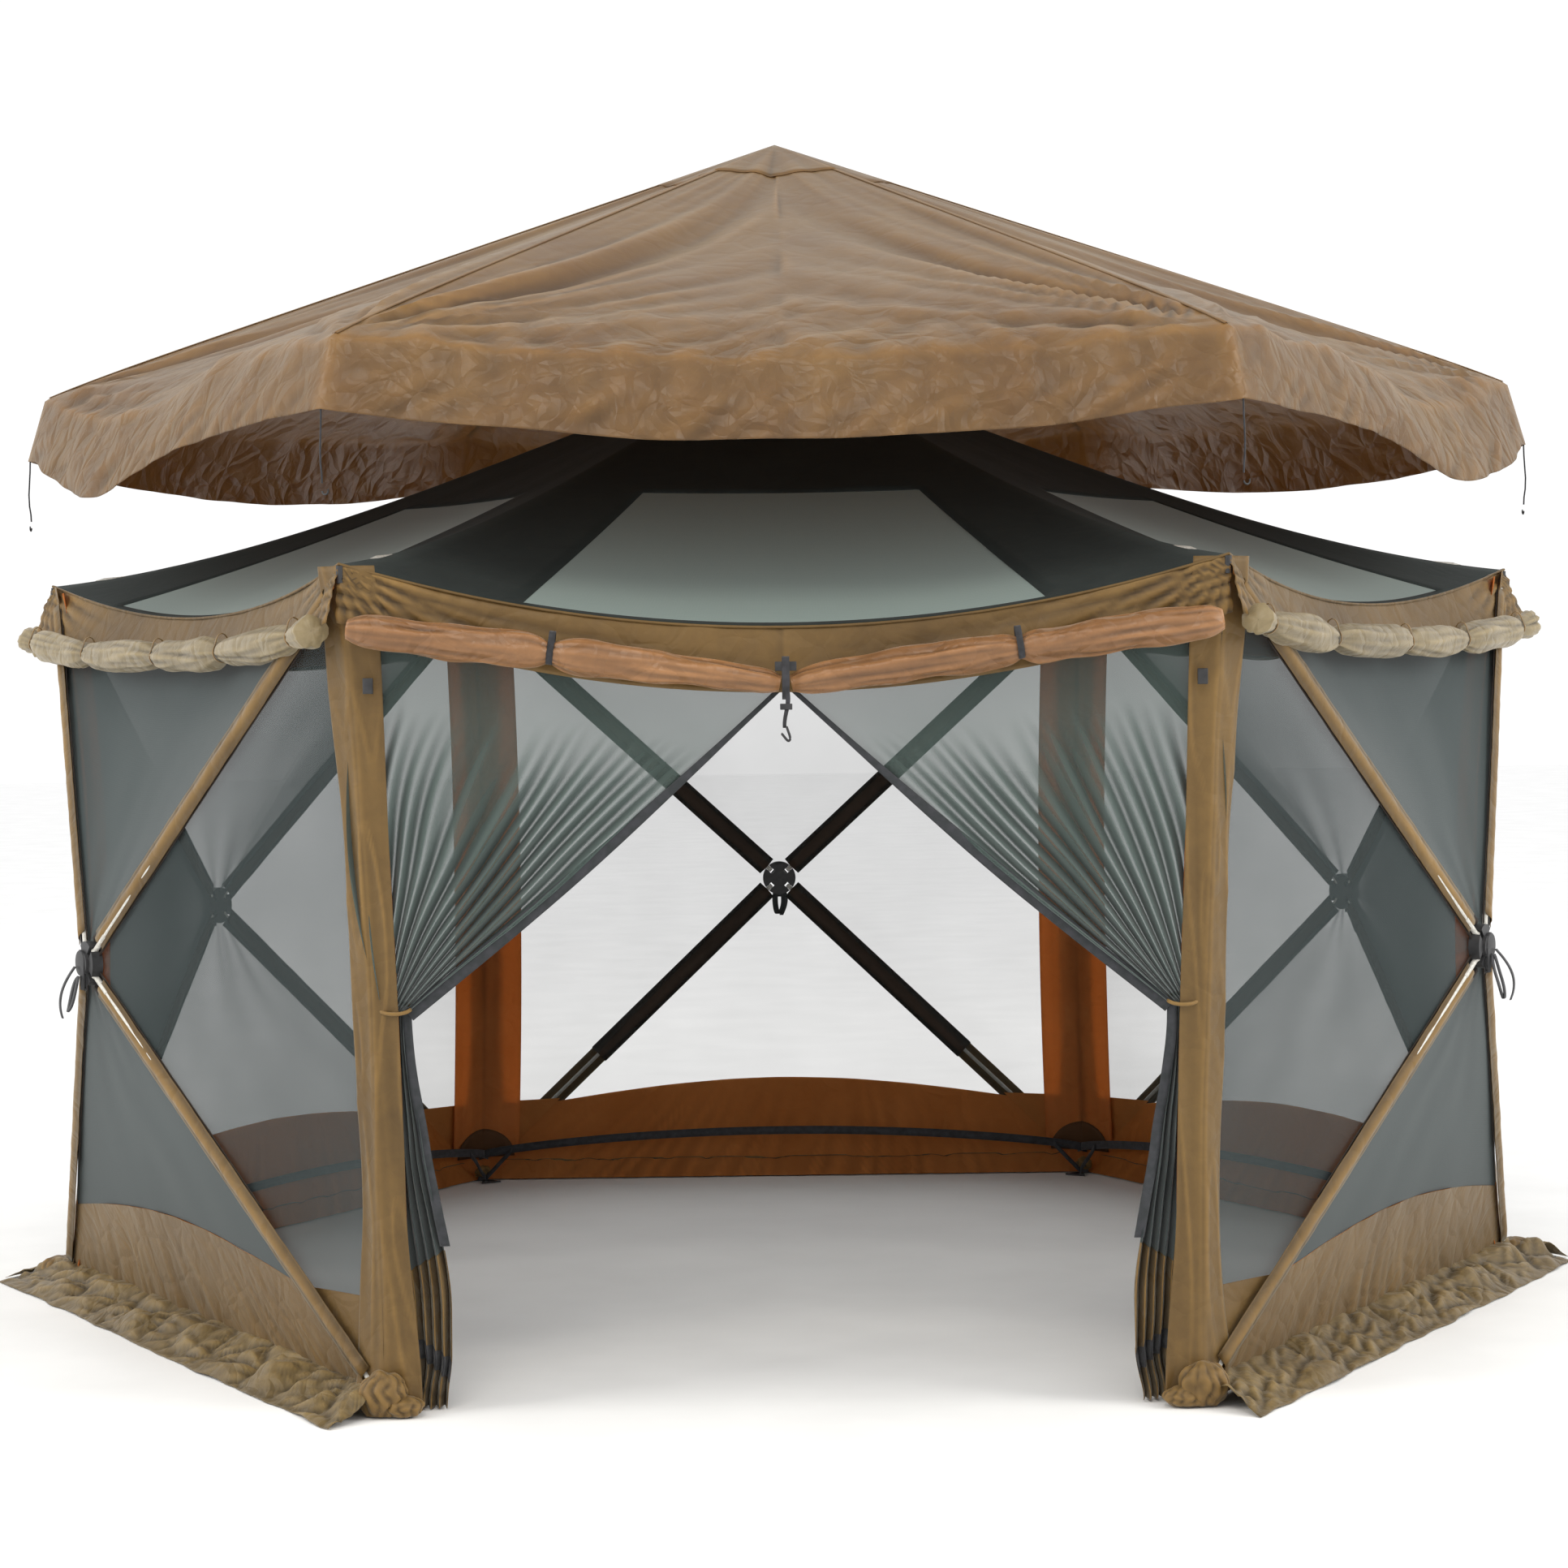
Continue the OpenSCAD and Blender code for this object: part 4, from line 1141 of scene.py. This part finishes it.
for side, label in ((-1, "left"), (1, "right")):
    def place(u, v, side=side):
        """u from the corner strip to the free edge, v from the roll to the tie."""
        x = lerp(0.905, 0.012, u)
        z = lerp(1.560, 1.680, (x / 0.935) ** 0.9) - 0.010
        top = Vector((x, MID - APOTHEM + 0.016, z))
        gather = TIE + Vector((lerp(0.042, -0.018, u), 0.0, lerp(0.012, -0.012, u)))
        p = lerp(top, gather, v)
        # the part near the strip hangs before it turns to the tie
        drape = (1 - u) ** 1.2 * math.sin(math.pi * v) * 0.055
        p.x += drape
        p.z -= drape * 0.3 + 0.016 * math.sin(math.pi * v) * u
        depth = 0.031 * v ** 0.6 * (1 - 0.45 * v) * math.sin(math.pi * min(1, 1.15 - v)) ** 0.5 if v < 1 else 0.0
        folds = math.sin(2 * math.pi * (u * 11 + 0.6 * wave(u * 3, v * 2, 0, side + 2))) * depth
        folds += 0.006 * wave(u * 26, v * 2.2, 0, side + 4) * smooth(v * 3)
        p.y += folds + 0.012 * math.sin(math.pi * v)
        return mirror(p, side)

    o = grid_sheet("door_curtain_" + label, 220, 60, place, 0.95, 0.85, Vector((0, -1, 0)))
    settle(o, o.name, "shelter", "screen_mesh", door_screen)

    def edge(u, v, side=side):
        top = Vector((0.012, MID - APOTHEM + 0.010, 1.552))
        low = TIE + Vector((-0.022, -0.004, -0.014))
        p = lerp(top, low, v)
        p.z -= 0.016 * math.sin(math.pi * v)
        p.y += 0.010 * math.sin(math.pi * v)
        n = Vector((0.62, 0, 0.78))
        w = 0.030 * (0.35 + 0.65 * smooth(v * 1.6))
        return mirror(p + n * ((u - 0.5) * w) - Vector((0, 0.003 + 0.002 * wave(v * 22, u, 0, side), 0)), side)

    o = grid_sheet("curtain_binding_" + label, 5, 70, edge, 0.03, 1.1, Vector((0, -1, 0)))
    thicken(o, 0.0015)
    settle(o, o.name, "shelter", "screen_mesh", zip_tape)

    def bundle_edge(v):
        """The hanging bundle's inner and outer edge at v, from the tie to the foot, and its height."""
        z = lerp(0.866, 0.004, v)
        outer_x = lerp(0.872, 0.905, smooth(v * 2)) - 0.030 * smooth((v - 0.55) / 0.45)
        inner_x = 0.830 - 0.052 * smooth(v * 1.9) - 0.040 * smooth((v - 0.35) / 0.4) + 0.018 * smooth((v - 0.86) / 0.14)
        return inner_x, outer_x, z

    def bundle(u, v, lo=0.0, hi=0.60, side=side):
        """A sheet folded back and forth, u from the inner edge to the strip."""
        slope = 0.10 * u * smooth((lo + (hi - lo) * v) * 2)
        t = min(lerp(lo, hi, v) + (slope if hi < 1 else slope * (1 - v) ** 0.5), 1.0)
        inner_x, outer_x, z = bundle_edge(t)
        x = lerp(inner_x, outer_x, u)
        zig = abs(((u * 8 + 0.35 * wave(t * 3, u, 0, side + 5)) % 1.0) * 2 - 1)
        y = MID - APOTHEM + 0.030 - 0.042 * (zig - 0.5) - 0.022 * (1 - u) * smooth(t * 2)
        crushed = 0.020 * ridges(u * 2, t * 16, 2, side) * smooth((t - 0.88) / 0.12)
        y += 0.010 * wave(u * 5, t * 7, 0, side + 6) + crushed
        x += 0.012 * wave(t * 9, u * 2, 3, side + 7) * smooth((t - 0.80) / 0.2)
        return mirror(Vector((x, y, max(z, 0.003))), side)

    o = grid_sheet("curtain_bundle_" + label, 168, 60, bundle, 0.4, 0.55, Vector((0, -1, 0)))
    hollows(o)
    settle(o, o.name, "shelter", "screen_mesh", bundle_screen)
    o = grid_sheet("curtain_foot_" + label, 168, 60, lambda u, v, f=bundle: f(u, v, 0.60, 1.0), 0.4, 0.36,
                   Vector((0, -1, 0)))
    thicken(o, 0.0014)
    settle(o, o.name, "shelter", "tan_cloth", tan_cloth)

    def stripe(u, v, f=bundle, side=side):
        across = lerp(0.0, 0.98, v)
        t = lerp(0.905, 0.720, across) + (u - 0.5) * 0.052
        return f(across, (t - 0.60) / 0.40, 0.60, 1.0) + Vector((0, -0.0060, 0))

    o = grid_sheet("curtain_stripe_" + label, 3, 84, stripe, 0.03, 0.3, Vector((0, -1, 0)))
    thicken(o, 0.0012)
    settle(o, o.name, "shelter", "black_webbing", black_webbing)

    def bundle_binding(u, v, f=bundle, side=side):
        t = lerp(0.0, 0.98, v)
        p = f(0.0, t)
        return p + Vector((side * ((u - 0.5) * 0.022 - 0.004), -0.004 - 0.003 * wave(v * 9, u, 1, side), 0))

    o = grid_sheet("bundle_binding_" + label, 3, 60, bundle_binding, 0.02, 0.6, Vector((0, -1, 0)))
    thicken(o, 0.0015)
    settle(o, o.name, "shelter", "screen_mesh", zip_tape)
    tie = tube_sheet("curtain_tie_" + label, lambda t, side=side: mirror(TIE + Vector((
        0.034 * math.cos(2 * math.pi * t) + 0.008, 0.022 * math.sin(2 * math.pi * t),
        0.010 * math.sin(2 * math.pi * t))), side),
        lambda a, t: 0.0042, 8, 40)
    settle(tie, tie.name, "shelter", "black_webbing", tan_cloth)
    if side < 0:
        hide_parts("curtain_ties")
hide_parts("door_curtains")

# %% [markdown]
# ## Toggles, buckles and the door tail
# Small moulded toggles lock the rolls' ties. A short strap with a hook hangs in the middle of the door.

# %% Small fittings
def rounded_box(name, size, centre, bevel=0.0015, tilt=0.0):
    bpy.ops.object.select_all(action="DESELECT")
    bpy.ops.mesh.primitive_cube_add(size=1, location=(0, 0, 0))
    o = bpy.context.active_object
    o.name = name
    for v in o.data.vertices:
        v.co = Vector((v.co.x * size[0], v.co.y * size[1], v.co.z * size[2]))
    modify(o, "BEVEL", width=bevel, segments=3, limit_method="ANGLE")
    m = Matrix.Translation(centre) @ Matrix.Rotation(tilt, 4, "Y")
    o.data.transform(m)
    o.data.shade_smooth()
    return o


for x in (-0.490, 0.490):
    z = eave(0, 0.5 + x / SIDE).z - 0.078
    o = rounded_box("toggle", (0.050, 0.010, 0.024), Vector((x, MID - APOTHEM - 0.026, z)))
    settle(o, "band_toggle_%d" % (x > 0), "shelter", "black_plastic", black_nylon)
    o = grid_sheet("toggle_strap", 2, 12, lambda u, v, x=x, z=z: Vector((
        x + (u - 0.5) * 0.016, MID - APOTHEM - 0.022 - 0.030 * v, z - 0.012 - 0.020 * v)),
        0.016, 0.05, Vector((0, -1, 0)))
    thicken(o, 0.0015)
    settle(o, "toggle_strap_%d" % (x > 0), "shelter", "black_webbing", black_webbing)
for side in (-1, 1):
    p = corner(0 if side < 0 else 1, EAVE - 0.262)
    o = rounded_box("buckle", (0.022, 0.008, 0.034), Vector((p.x - side * 0.046, p.y - 0.012, p.z)))
    settle(o, "corner_buckle_%d" % (side + 1), "shelter", "black_plastic", black_nylon)
mid_clip = rounded_box("middle_clip", (0.046, 0.012, 0.020), Vector((0, MID - APOTHEM - 0.058, 1.600)))
settle(mid_clip, "door_middle_clip", "shelter", "black_plastic", black_nylon)
knot = loop_round("door_knot", lambda t: middle(1.566) + Vector((lerp(-0.02, 0.02, t), -APOTHEM - 0.048, 0)),
                  0.5, 0.036, 0.016, 0.5)
settle(knot, "door_middle_tie", "shelter", "black_webbing", black_webbing)
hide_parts("band_buckles")

tail_lo, tail_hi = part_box("door_tail")
TY = (tail_lo.y + tail_hi.y) / 2
tail = grid_sheet("door_tail_strap", 2, 30, lambda u, v: Vector((
    (u - 0.5) * 0.011 * (1 - 0.3 * v) + 0.004 * math.sin(v * 5), TY + 0.003 * math.sin(v * 7),
    lerp(tail_hi.z, tail_lo.z + 0.030, v))), 0.011, 0.09, Vector((0, -1, 0)))
thicken(tail, 0.0018)
settle(tail, "door_tail_strap", "door_tail", "black_webbing", black_webbing)
hook = tube_sheet("door_tail_hook", lambda t: Vector((
    0.012 * math.sin(t * 4.4) * (0.4 + t * 0.6), TY,
    lerp(tail_lo.z + 0.034, tail_lo.z + 0.002, math.sin(min(t * 1.5, 1.0) * math.pi / 2))
    + 0.016 * smooth((t - 0.6) / 0.4))), lambda a, t: 0.0028, 10, 30)
settle(hook, "door_tail_hook", "door_tail", "black_webbing", black_nylon)
toggle = rounded_box("tail_toggle", (0.026, 0.010, 0.013), Vector((0, TY, tail_hi.z - 0.045)))
settle(toggle, "door_tail_toggle", "door_tail", "black_webbing", black_nylon)
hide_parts("door_tail")

# %% [markdown]
# ## Pull straps on the hubs
# Outside each wall hub is a webbing loop with a loose tail. Pulling it pops the wall out.

# %% Hub pull straps
for k in range(1, 6):
    h = hub_point(k) + outward(k) * 0.013
    body = "hub_" + WALLS[k]

    def loop(u, v, h=h, k=k):
        a = math.pi * 2 * v
        r = 0.046 + 0.006 * math.sin(a * 2 + k)
        p = h + outward(k) * (0.012 + 0.026 * (1 - math.cos(a)) * 0.5) + UP * (-0.052 - r * math.cos(a) * -1.0 - 0.02)
        return p + along(k) * (0.014 * math.sin(a)) + along(k) * ((u - 0.5) * 0.018)

    o = grid_sheet("pull_loop", 2, 40, loop, 0.018, 0.3)
    merged(o, 0.00005)
    thicken(o, 0.0018)
    settle(o, "pull_loop_" + WALLS[k], body, "black_webbing", black_webbing)

    def tail_strip(u, v, h=h, k=k):
        p = h + outward(k) * (0.012 + 0.055 * math.sin(v * 2.0) * 0.9) - UP * (0.01 + 0.115 * v)
        return p + along(k) * ((u - 0.5) * 0.016 * (1 - 0.2 * v) + 0.02 * math.sin(v * 3 + k))

    o = grid_sheet("pull_tail", 2, 24, tail_strip, 0.016, 0.15)
    thicken(o, 0.0018)
    settle(o, "pull_tail_" + WALLS[k], body, "black_webbing", black_webbing)
    bpy.ops.object.select_all(action="DESELECT")
    bpy.ops.mesh.primitive_cylinder_add(vertices=48, radius=0.030, depth=0.010)
    o = bpy.context.active_object
    modify(o, "BEVEL", width=0.0025, segments=3, limit_method="ANGLE")
    facing = outward(k).to_track_quat("Z", "Y").to_matrix().to_4x4()
    o.data.transform(Matrix.Translation(h + outward(k) * 0.004) @ facing)
    o.data.shade_smooth()
    settle(o, "hub_cap_" + WALLS[k], body, "black_plastic", black_nylon)
print("pull straps 5")

# %% [markdown]
# ## Rain fly
# The fly is a six-sided canopy with a valance. It is one cloth: each panel runs from the peak to the fold and on
# down the valance. Drag lines run from the peak and the corners, and the valance swells between them.

# %% Fly canopy
FLY_A = FLY_R * math.cos(math.radians(30))


def hem_sag(k, s):
    """How far the hem hangs below its corners. Beside the front it swells towards the side corners."""
    if k not in (1, 5):
        return (0.058 if k == 0 else 0.050) * 4 * s * (1 - s)
    x = s if k == 5 else 1 - s
    wide = 0.26 if x < 0.36 else 0.20
    return 0.105 * math.exp(-((x - 0.36) / wide) ** 2) * smooth(x / 0.12) * smooth((1 - x) / 0.08)


def fly_edge(k, s):
    p = lerp(middle(FLY_Z) + ray(turn(k)) * FLY_R, middle(FLY_Z) + ray(turn(k + 1)) * FLY_R, s)
    return p + outward(k) * (0.30 * hem_sag(k, s)) - UP * (0.75 * hem_sag(k, s))


def fly_wrinkle(k, s, t):
    """Drag lines: from both corners, and long soft ones from the peak."""
    x = min(s, 1 - s) * FLY_R
    y = t * FLY_A
    side = 1 if s < 0.5 else 2
    a = math.atan2(y, x + 0.03)
    r = math.hypot(x, y)
    near = min(r / 0.16, 1) ** 1.5
    amount = 0.024 * wave(a * 6.5, r * 0.7, side, k + 40) * math.exp(-r / 1.15) * near
    amount -= 0.030 * math.exp(-((a - 0.95) / 0.10) ** 2) * math.exp(-r / 1.3) * near
    amount += 0.010 * ridges(a * 5.5, r * 0.8, side, k + 44) * math.exp(-r / 0.95) * near
    amount += 0.012 * wave(a * 15, r * 1.8, side, k + 50) * math.exp(-r / 0.6) * near
    amount += 0.012 * wave((s - 0.5) * 9 * (1 - 0.4 * t), t * 1.6, 3, k + 60) * (1 - t) * min(x / 0.2, 1)
    low = math.exp(-t / 0.12)
    slant = s * 26 + 9 * t
    amount += 0.012 * low * wave(slant, t * 12, 0, k + 70) * min(x / 0.1, 1)
    amount += 0.007 * ridges(s * 13 - t * 16, t * 7, 0, k + 80) * math.exp(-t / 0.25) * min(x / 0.15, 1)
    # Two gores are sewn along a ridge, so neither is wrinkled on the seam itself.
    return amount * smooth(x * (1 - t) / 0.05)


def fly_point(k, s, q):
    """q from 0 at the hem to 0.16 at the fold to 1 at the peak."""
    fold = 0.16
    e = 4 * s * (1 - s)
    edge = fly_edge(k, s)
    x = min(s, 1 - s) * FLY_R
    lean = (outward(k) * 0.35 + UP).normalized()
    if q >= fold:
        t = (q - fold) / (1 - fold)
        p = lerp(edge, middle(FLY_Z), t)
        p.z = FLY_Z - (FLY_Z - edge.z) * (1 - t) ** 2.2 + (FLY_TOP - FLY_Z) * t
        # Between its ridges the canopy rounds over into the valance, so the fold is soft there.
        p.z -= 0.020 * e * math.sin(math.pi * t) + (0.012 + 0.022 * e) * math.exp(-t / 0.07)
        return p + lean * (fly_wrinkle(k, s, t) * min(1, (1 - t) * 6))
    d = 1 - q / fold
    drop = 0.160 + 0.25 * hem_sag(k, s) + 0.008 * wave(s * 7, 0, 0, k + 90) * min(x / 0.2, 1)
    flare = FLARE * 0.95 * d + 0.040 * math.sin(d * math.pi * 0.55) * e ** 0.7
    billow = 0.026 * wave(s * 8, d * 1.1, 0, k + 95) * d * min(x / 0.25, 1)
    billow += 0.010 * wave(s * 27 + d * 3, d * 2.5, 1, k + 96) * d * min(x / 0.1, 1)
    rays = abs(math.sin(math.atan2(d * 0.17, x + 0.02) * 4 + k)) - 0.6
    billow += 0.010 * rays * math.exp(-x / 0.30) * min(x / 0.12, 1) * d
    p = edge - UP * (drop * d + 0.012 + 0.022 * e)
    return p + round_corner(k, s, 0.07) * (flare + billow) + lean * (fly_wrinkle(k, s, 0.0) * (1 - d))


panels = []
for k in range(6):
    panels.append(grid_sheet("fly_panel", 94, 84, lambda u, v, k=k: fly_point(k, u, v ** 1.25), FLY_R, 1.95, UP))
bpy.ops.object.select_all(action="DESELECT")
for p in panels:
    p.select_set(True)
bpy.context.view_layer.objects.active = panels[0]
bpy.ops.object.join()
fly = merged(panels[0], 0.0006)
thicken(fly, 0.0015)
settle(fly, "fly_canopy", "fly", "fly_cloth", fly_cloth)
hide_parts("rainfly")
fly_seams = []
for k in range(6):
    def seam_line(u, v, k=k):
        q = lerp(0.165, 0.985, v)
        p = fly_point(k, 0.0, q) + UP * 0.0026
        side = ray(turn(k) + 90)
        return p + side * ((u - 0.5) * 0.016) - UP * (abs(u - 0.5) * 0.006)

    o = grid_sheet("fly_seam_" + CORNERS[k], 4, 60, seam_line, 0.016, 2.0, UP)
    thicken(o, 0.0008)
    fly_seams.append(settle(o, o.name, "fly", "fly_cloth", fly_cloth))
CAP = 0.135
caps = []
for k in range(6):
    o = grid_sheet("fly_cap_panel", 24, 10, lambda u, v, k=k: fly_point(k, u, lerp(1 - CAP, 0.9995, v)) + UP * 0.0030,
                   0.27, 0.27, UP)
    caps.append(o)
bpy.ops.object.select_all(action="DESELECT")
for p in caps:
    p.select_set(True)
bpy.context.view_layer.objects.active = caps[0]
bpy.ops.object.join()
cap = merged(caps[0], 0.0004)
thicken(cap, 0.0016)
settle(cap, "fly_cap_cloth", "fly", "fly_cloth", fly_cloth)
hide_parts("fly_cap")
print("fly faces", len(fly.data.polygons), "area", round(area_of(fly) / 2, 2))

# %% [markdown]
# A small J hook is crimped to the end of each elastic cord.

# %% Cord hooks
for k in range(6):
    end = middle(CORD_END) + ray(turn(k)) * CORD_R
    way = ray(turn(k) + 90)

    def hook_path(t, end=end, way=way):
        if t < 0.45:
            return end + UP * lerp(0.004, -0.016, t / 0.45)
        a = math.pi * (t - 0.45) / 0.55 * 1.15
        return end - UP * (0.016 + 0.008 * math.sin(a)) + way * (0.008 * (1 - math.cos(a)))

    o = tube_sheet("fly_hook_" + CORNERS[k], hook_path, lambda a, t: 0.0030 if t < 0.4 else 0.0022, 10, 36)
    settle(o, o.name, "fly", "black_plastic", black_nylon)
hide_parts("fly_hooks")

# %% [markdown]
# ## Start points of the elastic cords

# %% Start points of the elastic cords
for k, o in enumerate(cord_pieces):
    start = middle(CORD_TOP) + ray(turn(k)) * CORD_R

# %% [markdown]
# ## Floor and light
# A plain pale floor, two large soft lights at the left and right, a smaller one above and in front, and an even sky.

# %% Stage
floor_paint, t = new_material("studio_floor_pale")
co = add(t, "ShaderNodeTexCoord")
grain = add(t, "ShaderNodeTexNoise", None, Vector=co.outputs["Object"], Scale=3.0, Detail=3.0)
shade = ramp(t, grain.outputs["Fac"], [(0.3, colour("#f4f4f4")), (0.7, colour("#fafafa"))])
b = add(t, "ShaderNodeBsdfPrincipled", None, Base_Color=shade.outputs[0], Roughness=0.9)
out(t, b.outputs[0])
bpy.ops.object.select_all(action="DESELECT")
bpy.ops.mesh.primitive_plane_add(size=80, location=(0, 0, -0.0005))
floor = bpy.context.active_object
floor.name = "studio_floor"
floor.data.materials.append(floor_paint)

world = bpy.data.worlds.new("studio")
bpy.context.scene.world = world
world.use_nodes = True
world.node_tree.nodes.clear()
t = world.node_tree
bg = add(t, "ShaderNodeBackground", None, Color=colour("#ffffff"), Strength=1.05)
add(t, "ShaderNodeOutputWorld", None, Surface=bg.outputs[0])


def area_light(name, position, target, size, power, tint="#ffffff"):
    data = bpy.data.lights.new(name, "AREA")
    data.shape = "RECTANGLE"
    data.size, data.size_y = size
    data.energy = power
    data.color = colour(tint)[:3]
    o = bpy.data.objects.new(name, data)
    bpy.context.scene.collection.objects.link(o)
    o.location = position
    o.rotation_euler = (Vector(target) - Vector(position)).to_track_quat("-Z", "Y").to_euler()
    return o


area_light("left_box", (-7.5, -3.5, 5.0), (0, 0, 1.8), (4, 5), 260, "#fffdf6")
area_light("right_box", (7.5, -3.5, 5.0), (0, 0, 1.8), (4, 5), 300, "#fffdf6")
area_light("top_front", (-1.0, -7.0, 8.0), (0, 0, 2.0), (3, 2), 160, "#fff8ec")
bpy.context.scene.view_settings.view_transform = "Standard"
